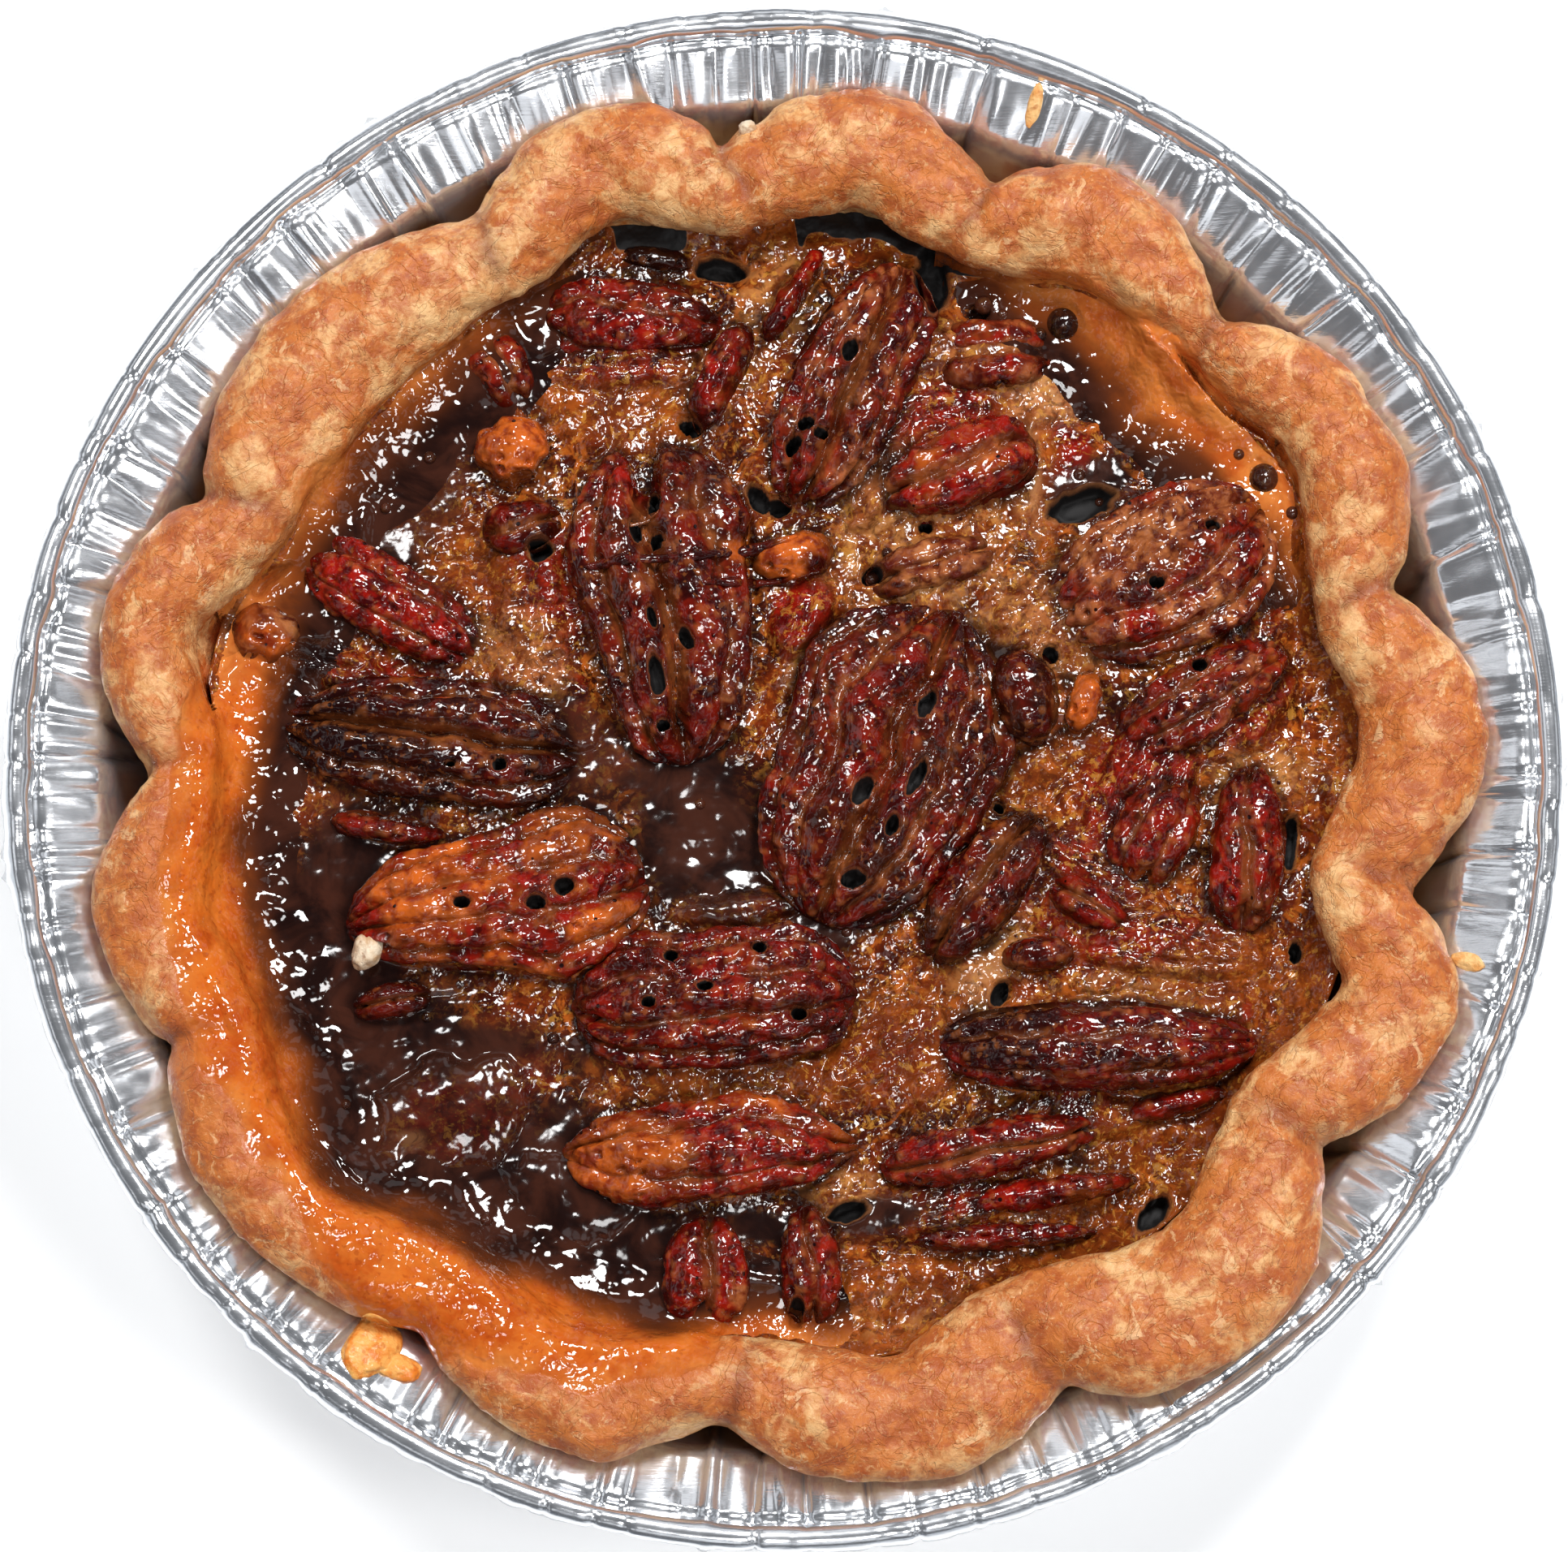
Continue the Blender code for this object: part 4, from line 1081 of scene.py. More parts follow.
def shape_half(points, length, width, height, ridges, outline, seed):
    """Shapes a ball with its poles on X into a pecan half: (points, groove mask).

    Most of the ball's faces go to the ridged upper side; the underside is nearly flat.
    """
    left, right, blunt, split = outline
    along = np.clip(points[:, 0], -1.0, 1.0)
    lean = np.arctan2(points[:, 1], points[:, 2])
    share = np.abs(lean) / math.pi
    above = share * 0.5 / UPPER_SHARE
    below = 0.5 + (share - UPPER_SHARE) * 0.5 / (1.0 - UPPER_SHARE)
    lean = np.sign(lean) * math.pi * np.where(share < UPPER_SHARE, above, below)
    ring = np.sqrt(np.clip(1.0 - along**2, 0.0, 1.0))
    across, up = np.sin(lean), np.cos(lean)
    stand = np.where(across > 0.0, side_of(left, along), side_of(right, along))
    spot = np.stack([along * length * 0.5, across * width * 0.5, np.zeros(len(points))], axis=1)
    ragged = 1.0 + 0.10 * rough(spot + 50.0, 6.0, seed, 3)
    half = 0.5 * width * across * (1.0 - np.abs(along) ** blunt) ** 0.52 * stand * ragged
    crown = (1.0 - np.abs(along) ** (blunt + 0.4)) ** 0.5
    upper = np.where(up > 0.0, np.abs(up) ** 0.7, 0.0)
    under = np.where(up < 0.0, np.abs(up), 0.0)
    z = height * (0.3 + 0.7 * upper * crown * (0.45 + 0.55 * ring**0.5) - 0.3 * under * crown)
    z = np.where(ring < 1e-4, 0.3 * height, z)
    x = 0.5 * length * along
    x = x + split * np.exp(-((half / 1.3) ** 2)) * ease(-along, 0.5, 1.0)
    wander = 0.2 * lumps(spot + 9.0, 7.0, seed + 1) + 0.09 * lumps(spot, 2.6, seed + 2)
    phase = ridges * 0.5 * (lean / (0.5 * math.pi) + 1.0) + wander
    ridge = np.abs(np.sin(math.pi * phase)) ** 0.6
    middle = np.exp(-((lean / 0.24) ** 2)) if ridges % 2 == 0 else 0.0
    uneven = 0.8 + 0.5 * lumps(spot + 70.0, 4.0, seed + 3)
    depth = (1.0 - ridge) * (uneven + 1.1 * middle) * ease(ring, 0.1, 0.5) * (up > -0.1)
    return np.stack([x, half, z], axis=1), depth


def make_pecan(number, row, look):
    x, y, heading, length, width, height, roll, sunk, ridges, ruby, toast, char, foam = row
    large = length > LARGE_PECAN
    piece = ball_along_x(f"glazed_pecan_{number:02d}", *(LARGE_FACES if large else SMALL_FACES))
    outline = OUTLINES.get(number, PLAIN_OUTLINE)
    ball = points_of(piece)
    shaped, groove = shape_half(ball, length, width, height, ridges, outline, 100 + number)
    set_points(piece, shaped)
    normals = normals_of(piece)
    upper = ease(normals[:, 2], -0.2, 0.3)
    seat = shaped + np.array([37.0 * number, 0.0, 0.0])
    bite = (0.13 if large else 0.12) * width
    lump = rough(seat, 3.4, 200 + number) * 0.34 + rough(seat, 1.5, 240 + number, 2) * 0.28
    beads, which = domes(seat, 1.15, 300 + number)
    lump = (lump + beads * 0.26 * (which > 0.3) - 0.1) * min(1.0, length / 15.0)
    pits = (which < 0.12) * ease(beads, 0.3, 0.6) * 0.8
    dent = lump * upper - groove * min(bite, 1.9) - pits * upper
    shaped = shaped + normals * dent[:, None]
    turn = Euler((math.radians(roll), 0.0, math.radians(heading))).to_matrix()
    level = float(filling_top(np.array([[x, y, 0.0]]))[0])
    world = shaped @ np.array(turn).T + np.array([x, y, level - sunk])
    hole = holed(flat(world)) * upper
    world[:, 2] -= NUT_HOLE_DEPTH * ease(hole, *HOLE_WALL)
    set_points(piece, world)
    low = flat(world)
    patch = rough(low, 4.5, 71)
    paint(piece, "groove", np.clip(ease(groove, 0.25, 0.8) + 0.25 * patch, 0.0, 1.0) * 0.85)
    masks = {
        "ruby": ruby + 0.6 * rough(low, 4.0, 72),
        "toast": ease(toast + 0.55 * rough(low, 3.6, 73), 0.35, 0.75),
        "char": char + 0.5 * rough(low, 5.0, 74),
        "foam": ease(foam + 0.5 * rough(low, 2.8, 75), 0.35, 0.8),
    }
    wander = 0.35 * rough(low, 2.4, 76)
    for kind, value in masks.items():
        patches = stained(low, NUT_STAINS[kind], wander)
        paint(piece, kind, np.clip(np.maximum(value, patches), 0.0, 1.0))
    paint(piece, "sugar", (which > 0.72) * ease(beads, 0.25, 0.6) * upper)
    # Painted contact shade near the filling's level.
    paint(piece, "foot_shade", ease(filling_top(world) + 2.4 - world[:, 2], 0.0, 2.0))
    paint(piece, "hole", hole)
    return dress(piece, look, "pecan", f"pecan_{number:02d}")


# ---------------------------------------------------------------- filling

FILLING_CELLS = 300
# The filling's wall: the height where its upper border is brought level, the height of its foot,
# and the foot's share of its width.
FILLING_SHOULDER = 20.0
FILLING_FOOT = 5.5
FOOT_SHARE = 0.88
# How far the film of filling on the nuts lies under a sheet draped over them.
FILM_DROP = 1.8
# A height above the whole pie, from which straight falls start.
ABOVE_ALL = 60.0


def ring_radii(node, low, high, step, reach, pick):
    """The least or the greatest radius of a node between two heights, at even angles."""
    points = points_of(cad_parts[node])
    band = points[(points[:, 2] > low) & (points[:, 2] < high)]
    angles, radii = angle_of(band), radius_of(band)
    rows = []
    for angle in range(0, 360, step):
        near = np.abs(degrees_from(angles, angle)) < reach
        rows.append((angle, pick(radii[near])))
    return rows


def crust_inside():
    """Radius of the inner face of the finished crust's rim, round the pie."""
    rows = ring_radii("pastry_crust", 27.0, 32.0, 4, 4.0, np.min)
    values = np.array([radius + 0.7 * float(around(RIM_FULLNESS, angle)) for angle, radius in rows])
    values = (np.roll(values, 1) + 2.0 * values + np.roll(values, -1)) / 4.0
    return [(angle, value) for (angle, _), value in zip(rows, values)]


def filling_brim():
    """Radius of the filling's edge, just inside the finished crust."""
    rows = ring_radii("filling", 20.0, 99.0, 5, 7.0, np.max)
    return [(angle, radius - 0.5 + 0.6 * float(around(RIM_FULLNESS, angle))) for angle, radius in rows]


def onto_disc(points):
    """Moves a square sheet's points, from -1 to 1, to a round sheet's."""
    u, v = points[:, 0], points[:, 1]
    wide = np.abs(u) > np.abs(v)
    safe_u = np.where(wide, u, 1.0)
    safe_v = np.where(~wide & (np.abs(v) > 1e-9), v, 1.0)
    radius = np.where(wide, u, v)
    turn = np.where(wide, 0.25 * math.pi * v / safe_u, 0.5 * math.pi - 0.25 * math.pi * u / safe_v)
    return np.stack([radius * np.cos(turn), radius * np.sin(turn), 0.0 * u], axis=1)


def padded_by(table, width, axis):
    """The table with its first and last rows repeated along one axis."""
    return np.pad(table, [(width, width) if k == axis else (0, 0) for k in (0, 1)], mode="edge")


def soften(table, width, times=3):
    """Blurs a table of heights."""
    size = 2 * width + 1
    for axis in (0, 1) * times:
        run = np.insert(np.cumsum(padded_by(table, width, axis), axis=axis), 0, 0.0, axis=axis)
        high = np.take(run, range(size, run.shape[axis]), axis=axis)
        low = np.take(run, range(0, run.shape[axis] - size), axis=axis)
        table = (high - low) / size
    return table


def spread(table, width, pick):
    """The highest or the lowest height within reach, over a table of heights."""
    for axis in (0, 1):
        padded = padded_by(table, width, axis)
        reach = range(2 * width + 1)
        runs = [np.take(padded, range(k, k + table.shape[axis]), axis=axis) for k in reach]
        table = pick.reduce(runs)
    return table


def as_table(values, flat_sheet, shape, work):
    """Works on the values of a flat sheet's points as a table, and gives them back in order."""
    order = np.lexsort((flat_sheet[:, 0], flat_sheet[:, 1]))
    result = np.empty(len(values))
    result[order] = work(values[order].reshape(shape)).ravel()
    return result


def upper_sides(pieces):
    """What a straight fall on to the pieces meets."""
    verts, faces, count = [], [], 0
    for piece in pieces:
        co = points_of(piece)
        verts.extend(map(tuple, co))
        faces.extend(tuple(count + i for i in face.vertices) for face in piece.data.polygons)
        count += len(co)
    return BVHTree.FromPolygons(verts, faces)


def height_of(tree, points):
    """Height of the upper sides under each point, or nothing where there is none."""
    down = Vector((0.0, 0.0, -1.0))
    heights = np.full(len(points), np.nan)
    for i, (x, y) in enumerate(points[:, :2]):
        hit = tree.ray_cast(Vector((x, y, ABOVE_ALL)), down)
        if hit[0] is not None:
            heights[i] = hit[0].z
    return heights


def humps(points, live):
    """Ridged humps over the buried nuts, smoother where the filling is calm: (rise, mask)."""
    rise = np.zeros(len(points))
    cover = np.zeros(len(points))
    ragged = 0.22 * rough(points, 3.6, 85)
    wander = 0.3 * lumps(points, 5.0, 95) + 0.12 * lumps(points, 2.2, 96)
    for x, y, heading, half_length, half_width, height, ridges in BURIED:
        turn = math.radians(heading)
        across = (points[:, 1] - y) * math.cos(turn) - (points[:, 0] - x) * math.sin(turn)
        away = from_ellipse(points, x, y, half_length, half_width, heading) + ragged
        dome = np.sqrt(np.clip(1.0 - away**2, 0.0, 1.0))
        phase = ridges * 0.5 * (across / half_width + 1.0) + wander
        valley = 1.0 - np.abs(np.sin(math.pi * phase)) ** 0.6
        rise = np.maximum(rise, height * dome - 0.8 * valley * dome * live)
        cover = np.maximum(cover, 1.0 - ease(away, 0.6, 1.05))
    return rise, cover


def fine_ripple(points, pool_share):
    """Small ripples of a set pool, in patches."""
    fine = 0.2 * lumps(points, 1.9, 78) + 0.14 * lumps(points, 1.2, 76)
    low, high = pool_share
    return fine * (low + high * ease(lumps(points, 9.0, 79), -0.35, 0.35))


def bare_filling(points, inner):
    """Height of the filling before its film covers the nuts, and a mask of the buried nuts."""
    angles, radii = angle_of(points), radius_of(points)
    base = filling_top(points)
    reach = around(CLIMB, angles, 2)
    climb = np.clip((radii - inner - 1.0 + reach) / reach, 0.0, 1.3)
    base = base + around(CLIMB, angles) * climb**2
    calm_pool = stained(points, STAINS["syrup"], 0.25 * rough(points, 5.0, 81))
    live = 1.0 - 0.8 * np.clip(calm_pool, 0.0, 1.0)
    base += (rough(points, 8.0, 82) * 0.9 + rough(points, 2.8, 83) * 0.3) * live
    base -= (1.0 - np.abs(rough(points, 5.0, 80))) ** 4 * 0.7 * live
    ripple = 0.12 * lumps(points, 4.2, 84) + fine_ripple(points, (0.15, 0.65))
    base += ripple * (1.0 - live)
    hump, buried = humps(points, ease(live, 0.2, 1.0))
    return base + hump, buried


def film_depth(points):
    """How far the film lies below a sheet draped over the nuts."""
    ragged = 0.3 * rough(points, 3.0, 86)
    lift = np.zeros(len(points))
    for *ellipse, amount in FILM_LIFTS:
        away = from_ellipse(points, *ellipse) + ragged
        lift = np.maximum(lift, amount * (1.0 - ease(away, 0.5, 1.2)))
    return FILM_DROP - lift + 0.45 * rough(points, 5.0, 87) + 0.2 * rough(points, 1.6, 88)


def filling_masks(points, inner, over, buried, hole, nut_contact_shade):
    """Where each kind of filling lies on the finished sheet, from 0 to 1, with painted shade by the bare
    nuts and under the crust's rim.
    """
    angles, radii = angle_of(points), radius_of(points)
    level = flat(points)
    wander = 0.3 * rough(points, 4.0, 92) + 0.12 * rough(points, 1.3, 93)
    values = {kind: stained(level, patches, wander) for kind, patches in STAINS.items()}
    froth = 0.5 * over * ease(rough(level, 3.0, 94), 0.1, 0.5)
    values["foam"] = np.maximum(0.85 * values["foam"], froth)
    syrup = values["syrup"] * (1.0 - 0.75 * over)
    values["nut"] = buried * (0.75 + 0.5 * rough(level, 4.0, 97)) * (1.0 - 0.6 * syrup)
    edge = ease(radii + 1.6 * lumps(points, 6.0, 77) - around(POOL_EDGE, angles), -3.5, 1.0)
    beside_crust = between(angles, 184.0, 192.0, 258.0, 266.0) * ease(radii, 43.0, 48.0)
    syrup = np.maximum(syrup, beside_crust) * (1.0 - 0.9 * edge)
    values["syrup"] = syrup * (1.0 - 0.45 * np.clip(values["ruby"], 0.0, 1.0))
    values["calm"] = values["syrup"]
    values["nut_contact_shade"] = nut_contact_shade
    values["amber"] = np.maximum(values["amber"], edge * 0.9)
    ragged = 0.9 * lumps(points, 3.2, 98) + 0.4 * lumps(points, 1.4, 99)
    risen = around(CLIMB, angles + 5.0 * lumps(points, 4.0, 100))
    # Painted shadow under the crust's rim, put into the hole mask so that it is painted as dark as a hole.
    crust_rim_shadow = ease(radii - inner + ragged, -1.6, 0.6) * (1.0 - ease(risen, -0.2, 0.8))
    values["hole"] = np.maximum(hole, 0.9 * crust_rim_shadow)
    return values


def make_filling(look, nuts):
    put_down()
    bpy.ops.mesh.primitive_grid_add(
        x_subdivisions=FILLING_CELLS, y_subdivisions=FILLING_CELLS, size=2.0 * MM
    )
    piece = newest("set_filling")
    sheet = points_of(piece)
    shape = (FILLING_CELLS + 1, FILLING_CELLS + 1)
    disc = onto_disc(sheet)
    angles = angle_of(disc)
    points = disc * around(filling_brim(), angles)[:, None]
    inner = around(crust_inside(), angles)
    base, buried = bare_filling(points, inner)
    nut = height_of(upper_sides(nuts), points)
    draped = as_table(np.fmax(nut, base), sheet, shape, lambda table: soften(table, 2))
    gap = draped - film_depth(points) - base
    height = base + np.where(gap > -1.0, 0.5 * (gap + np.sqrt(gap * gap + 0.12)), 0.0)
    over = ease(gap, -0.3, 0.6)
    beads, which = domes(points, 1.5, 89)
    froth = stained(points, STAINS["foam"], 0.3 * rough(points, 3.0, 90))
    height += beads * (which > 0.35) * 0.2 * np.clip(froth + 0.4 * over, 0.0, 1.0)
    hole = holed(points)
    points[:, 2] = height - FILLING_HOLE_DEPTH * ease(hole, *HOLE_WALL)
    set_points(piece, points)
    bare_nut = (np.nan_to_num(nut, nan=-9.0) > base).astype(float)
    near = as_table(bare_nut, sheet, shape, lambda table: soften(table, 3))
    # Painted contact shade on the filling beside the bare nuts, where its film lies well below them.
    nut_contact_shade = ease(near, 0.08, 0.5) * (1.0 - ease(gap, -1.2, -0.2)) * 0.9
    for kind, value in filling_masks(points, inner, over, buried, hole, nut_contact_shade).items():
        paint(piece, kind, np.clip(value, 0.0, 1.0))
    choose_open_edge(piece)
    extrude_to((1.0, 1.0, 0.0), -3.0, FILLING_SHOULDER)
    extrude_to((FOOT_SHARE, FOOT_SHARE, 1.0), FILLING_FOOT - FILLING_SHOULDER, FILLING_FOOT)
    bpy.ops.mesh.edge_face_add()
    stop_editing()
    return dress(piece, look, "filling", "filling")


# ---------------------------------------------------------------- run glaze, scraps and strands

# The sheet of run glaze: how long its cells are round the pie and at what radius, its rows of cells
# from its inner to its outer border, and how many cells far it bridges a gap.
GLAZE_CELL = 0.36
GLAZE_RADIUS = 62.0
GLAZE_ROWS = 88
GLAZE_BRIDGE = 9


def make_overflow(name, first, last, inward, edge_width, darkening, look, beneath):
    """Thick glaze that bridges crust and filling, and sinks below both at its borders."""
    put_down()
    columns = int(math.radians(last - first) * GLAZE_RADIUS / GLAZE_CELL)
    bpy.ops.mesh.primitive_grid_add(x_subdivisions=columns, y_subdivisions=GLAZE_ROWS, size=2.0 * MM)
    piece = newest(f"run_glaze_{name}")
    sheet = points_of(piece)
    angles = last - (last - first) * 0.5 * (sheet[:, 0] + 1.0)
    turn = np.radians(angles)
    around_pie = np.stack([np.cos(turn), np.sin(turn), 0.0 * turn], axis=1)
    glazed, inner = around(GLAZE_EDGE, angles), around(crust_inside(), angles)
    edge = np.maximum(np.minimum(glazed + 2.0 - edge_width, inner + 5.5), inner + 1.0)
    edge = edge + 0.7 * lumps(60.0 * around_pie, 5.0, 121)
    radii = inward + (edge + 0.8 - inward) * 0.5 * (sheet[:, 1] + 1.0)
    points = radii[:, None] * around_pie
    under = np.nan_to_num(height_of(beneath, points), nan=20.0)

    def bridge(table):
        closed = spread(spread(table, GLAZE_BRIDGE, np.maximum), GLAZE_BRIDGE, np.minimum)
        return soften(closed, 3)

    bridged = as_table(under, sheet, (GLAZE_ROWS + 1, columns + 1), bridge)
    at_edge = ease(edge - radii, -0.4, edge_width)
    hug = between(angles, first + 2.0, first + 14.0, last - 14.0, last - 2.0)
    over = (bridged - under) * hug * ease(radii - inward, 1.0, 6.0) * at_edge
    height = under + 0.5 * (over + np.sqrt(over * over + 0.3))
    pool = around(POOL_EDGE, angles) + 1.6 * lumps(points, 6.0, 123)
    thick = at_edge * ease(radii - pool, -9.0, -3.0) * between(angles, first, first + 6.0, last - 6.0, last)
    thick = thick * ease(radii - inward, 0.5, 5.0)
    rise = 0.3 + 0.16 * lumps(points, 4.0, 124) + 0.12 * lumps(points, 1.6, 125)
    rippled = ease(pool - radii, -1.0, 4.0) * fine_ripple(points, (0.25, 0.6))
    points[:, 2] = height - 0.75 + (0.62 + rise + rippled) * thick
    set_points(piece, points)
    paint(piece, "deep", ease(pool - radii, -darkening, 4.0))
    paint(piece, "thin", thin_glaze(glazed - radii, around(GLAZE_BODY, angles)))
    return dress(piece, look, "filling")


def make_scrap(row, looks, beneath):
    name, x, y, half_length, half_width, half_height, heading, draped, look, slot = row
    put_down()
    bpy.ops.mesh.primitive_uv_sphere_add(segments=44, ring_count=30, radius=MM)
    piece = newest(name)
    ball = points_of(piece)
    ball *= (1.0 + 0.22 * rough(ball * 2.0 + 3.0 * x, 1.6, 131))[:, None]
    turn = np.array(Euler((0.0, 0.0, math.radians(heading))).to_matrix())
    points = ball * np.array([half_length, half_width, half_height]) @ turn.T + np.array([x, y, 0.0])
    if draped:
        points[:, 2] += np.nan_to_num(height_of(beneath, points), nan=27.0)
    else:
        points[:, 2] += float(height_of(beneath, points[:1])[0]) + 0.35 * half_height
    set_points(piece, points)
    return dress(piece, looks[look], slot)


def make_bubbles(look, beneath):
    parts = []
    for x, y, radius in BUBBLES:
        put_down()
        level = float(height_of(beneath, np.array([[x, y, 0.0]]))[0]) - 0.25 * radius
        place = (x * MM, y * MM, level * MM)
        bpy.ops.mesh.primitive_uv_sphere_add(
            segments=24, ring_count=16, radius=radius * MM, location=place
        )
        parts.append(newest("bubble"))
        fix_place(parts[-1])
    take_up(parts[0])
    for part in parts:
        part.select_set(True)
    bpy.ops.object.join()
    bubbles = newest("set_bubbles")
    paint(bubbles, "syrup", np.full(len(bubbles.data.vertices), 0.9))
    return dress(bubbles, look, "filling")


def make_strand(number, radius, path, look, beneath):
    """A strand of set syrup that lies over what is under it, and ends in a bead."""
    piece = ball_along_x(f"syrup_strand_{number}", 16, 64)
    ball = points_of(piece)
    along = 0.5 * (ball[:, 0] + 1.0)
    stops = np.linspace(0.0, 1.0, len(path))
    line = np.stack([np.interp(along, stops, [p[k] for p in path]) for k in (0, 1)], axis=1)
    spine = np.concatenate([line, np.zeros((len(line), 1))], axis=1)
    keep = np.sort(np.unique(np.round(along, 6), return_index=True)[1])
    rows = keep[np.argsort(along[keep])]
    heights = np.pad(height_of(beneath, spine)[rows], 4, "edge")
    level = np.interp(along, along[rows], np.convolve(heights, np.ones(9) / 9.0, "valid"))
    ends = np.abs(ball[:, 0])
    taper = np.sqrt(np.clip(1.0 - ends**6, 0.0, 1.0))
    fat = radius * taper / np.maximum(np.hypot(ball[:, 1], ball[:, 2]), 1e-6)
    fat = np.where(ends > 0.9999, 0.0, fat * (1.0 + 0.3 * lumps(spine, 1.8, 141)))
    heading = math.atan2(path[-1][1] - path[0][1], path[-1][0] - path[0][0])
    points = spine.copy()
    points[:, 0] -= ball[:, 1] * fat * math.sin(heading)
    points[:, 1] += ball[:, 1] * fat * math.cos(heading)
    points[:, 2] = level + 0.3 * radius + ball[:, 2] * fat
    set_points(piece, points)
    toasted = ease(ends, 0.75, 0.95) * (ball[:, 0] > 0.0)
    paint(piece, "ruby", 0.2 * (1.0 - toasted))
    paint(piece, "char", 0.5 * (1.0 - toasted))
    paint(piece, "toast", toasted)
    return dress(piece, look, "filling")


# ---------------------------------------------------------------- studio

# The studio's lengths are in metres, and its angles in degrees.
LOOK_AT = (0.0, -0.0004, 0.0305)
CAMERA_DISTANCE = 0.7
CAMERA_ELEVATION = 82.0
LENS = 158.2

# Lamps: name, azimuth, elevation, size, power. Azimuth 0 is on +X and 90 on +Y.
LAMPS = (
    ("key_lamp", 66, 56, 0.27, 8.8),
    ("side_lamp", -22, 60, 0.22, 2.8),
    ("top_lamp", 128, 62, 0.22, 3.5),
    ("low_lamp", -80, 66, 0.20, 1.7),
)
LAMP_DISTANCE = 1.1

FLOOR_TONE = (0.92, 0.92, 0.92, 1.0)
FLOOR_GLOW = 0.34
DARK_WALL = (0.08, 0.10, 0.13, 1.0)
PALE_WALL = (0.80, 0.84, 0.90, 1.0)
CEILING = (0.028, 0.032, 0.040, 1.0)

# Soft panels round the pie: azimuth, elevation, half angle, brightness.
PANELS = (
    (268, 48, 11, 0.96), (292, 40, 8, 0.74), (240, 44, 8, 0.74), (170, 40, 11, 0.96),
    (195, 34, 8, 0.74), (145, 36, 8, 0.74), (10, 38, 8, 0.66), (38, 30, 7, 0.74),
    (330, 36, 8, 0.82), (90, 31, 10, 0.82), (118, 30, 7, 0.74), (60, 28, 7, 0.66),
    (310, 30, 6, 0.66), (215, 30, 7, 0.66),
)


def make_camera():
    turn = math.radians(CAMERA_ELEVATION)
    camera = bpy.data.objects.new("camera", bpy.data.cameras.new("camera"))
    camera.data.lens = LENS
    camera.data.sensor_width = 36.0
    camera.data.clip_start = 0.01
    camera.location = (
        0.0,
        LOOK_AT[1] - CAMERA_DISTANCE * math.cos(turn),
        LOOK_AT[2] + CAMERA_DISTANCE * math.sin(turn),
    )
    camera.rotation_euler = (math.radians(90.0 - CAMERA_ELEVATION), 0.0, 0.0)
    bpy.context.scene.collection.objects.link(camera)
    bpy.context.scene.camera = camera


def add_lamp(name, azimuth, elevation, size, power):
    """A soft round lamp aimed at the pie."""
    turn, climb = math.radians(azimuth), math.radians(elevation)
    away = Vector(
        (math.cos(turn) * math.cos(climb), math.sin(turn) * math.cos(climb), math.sin(climb))
    )
    light = bpy.data.lights.new(name, "AREA")
    light.shape = "DISK"
    light.size = size
    light.energy = power
    lamp = bpy.data.objects.new(name, light)
    lamp.location = Vector(LOOK_AT) + away * LAMP_DISTANCE
    lamp.rotation_euler = away.to_track_quat("Z", "Y").to_euler()
    bpy.context.scene.collection.objects.link(lamp)


def make_floor():
    put_down()
    bpy.ops.mesh.primitive_plane_add(size=6.0)
    floor = newest("studio_floor")
    look, _, shader = new_finish("studio_paper", Roughness=0.9)
    shader.inputs["Base Color"].default_value = FLOOR_TONE
    shader.inputs["Emission Color"].default_value = (1.0, 1.0, 1.0, 1.0)
    shader.inputs["Emission Strength"].default_value = FLOOR_GLOW
    floor.data.materials.append(look)


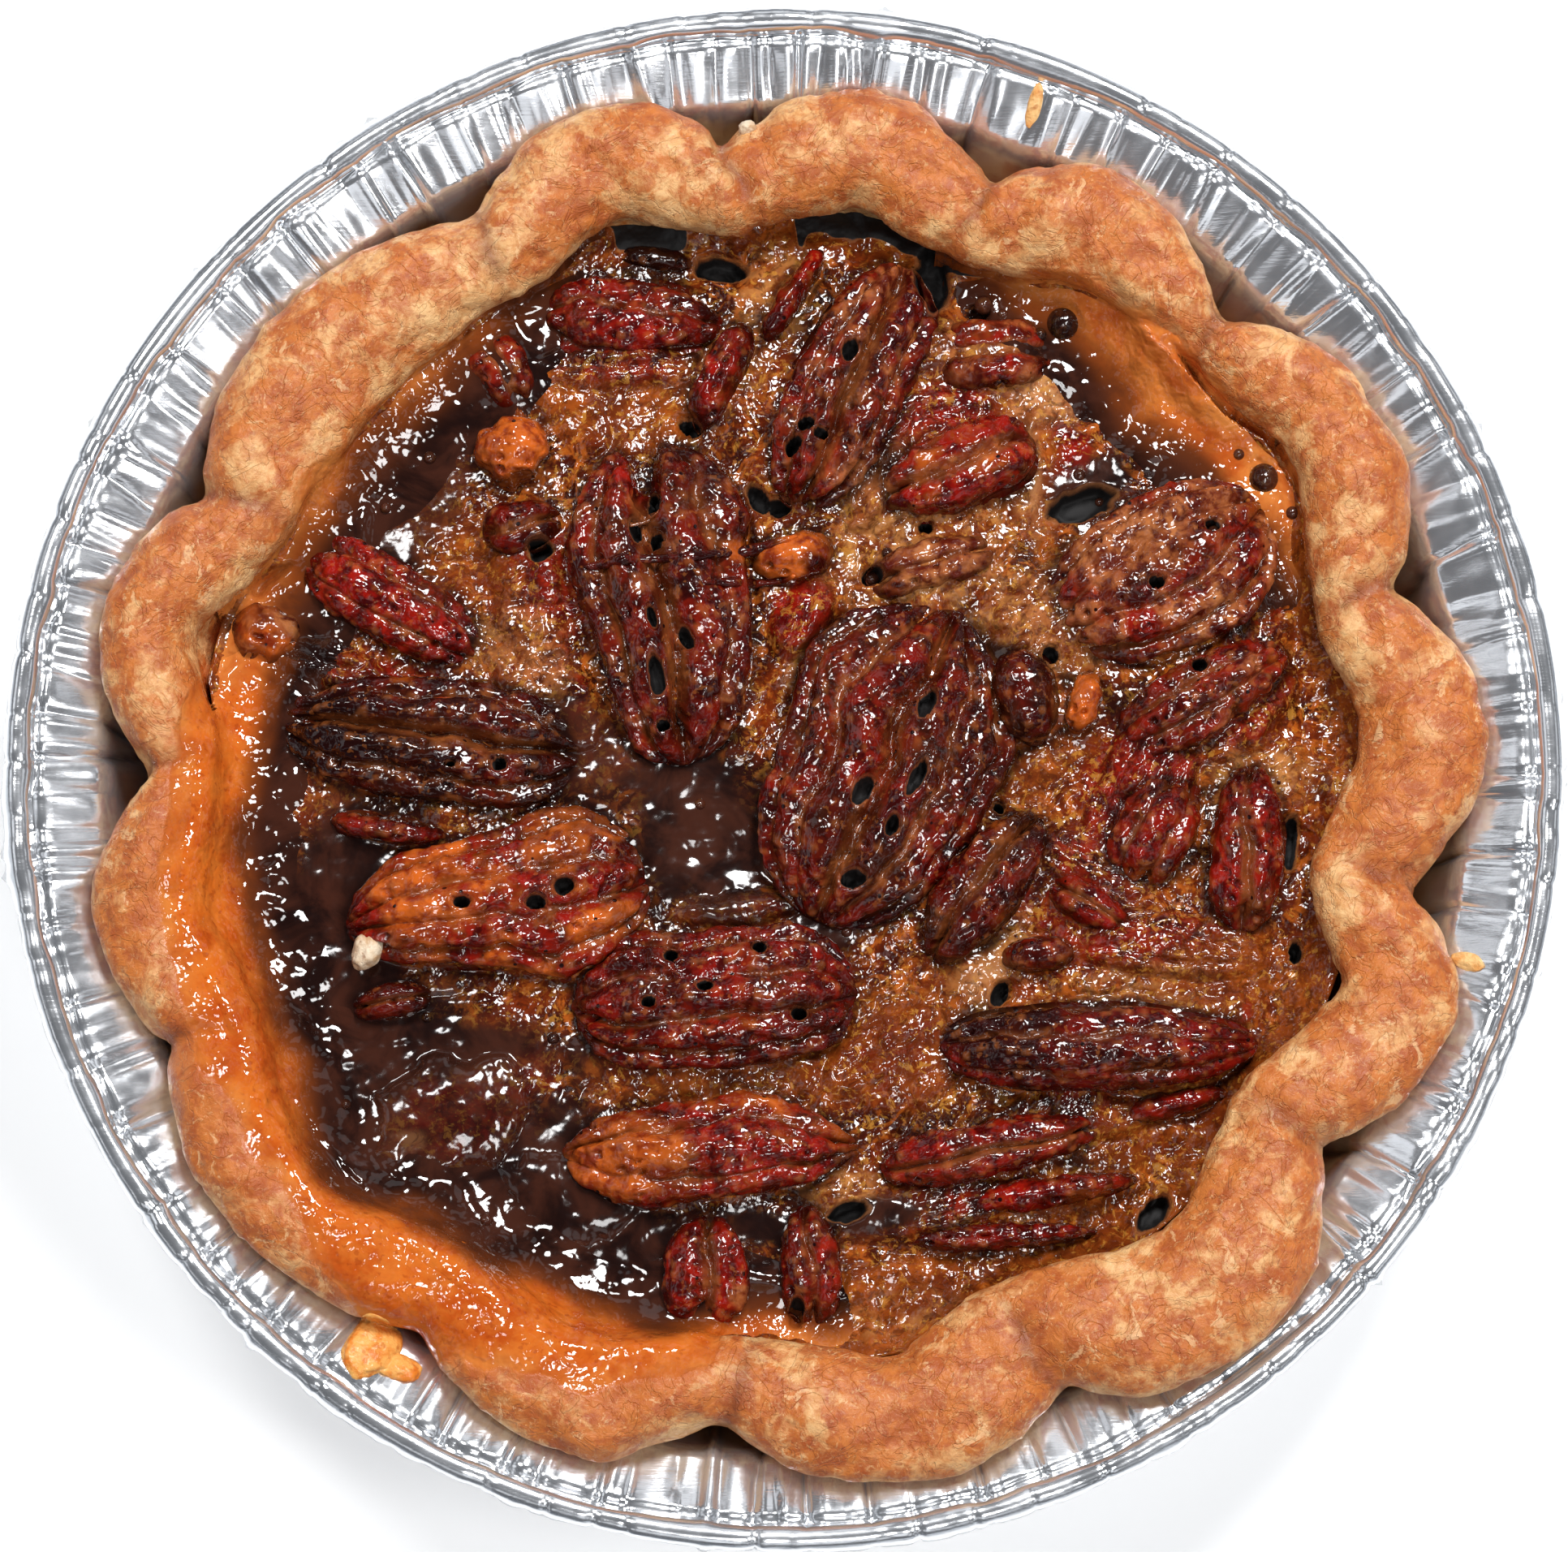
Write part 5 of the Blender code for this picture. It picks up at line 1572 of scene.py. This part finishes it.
def make_surroundings():
    """What the foil and the syrup reflect: a dark ceiling, patchy pale walls and soft panels."""
    world = bpy.data.worlds.new("studio")
    bpy.context.scene.world = world
    world.use_nodes = True
    bench = Bench(world.node_tree)
    direction = bench.add("TexCoord").outputs["Generated"]
    up = bench.add("SeparateXYZ", Vector=direction).outputs["Z"]
    patches = bench.add("TexNoise", Vector=direction, Scale=2.4, Detail=1.0).outputs["Fac"]
    walls = bench.mix(bench.span(patches, 0.50, 0.58), DARK_WALL, PALE_WALL)
    tone = bench.mix(bench.span(up, 0.20, 0.34), walls, CEILING)
    for azimuth, elevation, reach, brightness in PANELS:
        turn = Euler((0.0, -math.radians(elevation), math.radians(azimuth)))
        dot = bench.add("VectorMath", {"operation": "DOT_PRODUCT"})
        bench.feed(dot.inputs[0], direction)
        dot.inputs[1].default_value = turn.to_matrix() @ Vector((1, 0, 0))
        outer, core = math.cos(math.radians(reach)), math.cos(math.radians(0.8 * reach))
        lit = bench.span(dot.outputs["Value"], outer, core)
        tone = bench.mix(lit, tone, (brightness, 1.02 * brightness, 1.06 * brightness, 1.0))
    bench.feed(world.node_tree.nodes["Background"].inputs["Color"], tone)


# ---------------------------------------------------------------- the pie

make_camera()
for lamp in LAMPS:
    add_lamp(*lamp)
make_floor()
make_surroundings()
groups = {"bubbles": bubble_glaze_group(), "mottling": mottling_group()}
pecan_look = pecan_finish(groups)
syrup_look = filling_finish(groups)
glaze_look = glaze_finish(groups)
looks = {
    "pale": crumb_finish("pale_crumb", (228, 208, 180), (202, 164, 124), (150, 92, 56), 0.4, groups),
    "dough": crumb_finish("crust_flake", (240, 196, 132), (222, 154, 84), (190, 110, 56), 0.32, groups),
    "drip": crumb_finish("dried_drip", (238, 172, 92), (218, 122, 42), (196, 96, 32), 0.1, groups),
}
tin = make_tin(foil_finish())
crust = make_crust(crust_finish(groups))
nuts = [make_pecan(number, row, pecan_look) for number, row in enumerate(PECANS, start=1)]
filling = make_filling(syrup_look, nuts)
beneath = upper_sides([tin, crust, filling])
overflows = [make_overflow(*row, glaze_look, beneath) for row in OVERFLOWS]
beneath = upper_sides([tin, crust, filling, *nuts, *overflows])
for row in SCRAPS:
    make_scrap(row, looks, beneath)
make_bubbles(syrup_look, beneath)
for number, (radius, path) in enumerate(STRANDS, start=1):
    make_strand(number, radius, path, pecan_look, beneath)

bpy.context.scene.view_settings.view_transform = "Standard"
bpy.context.view_layer.update()
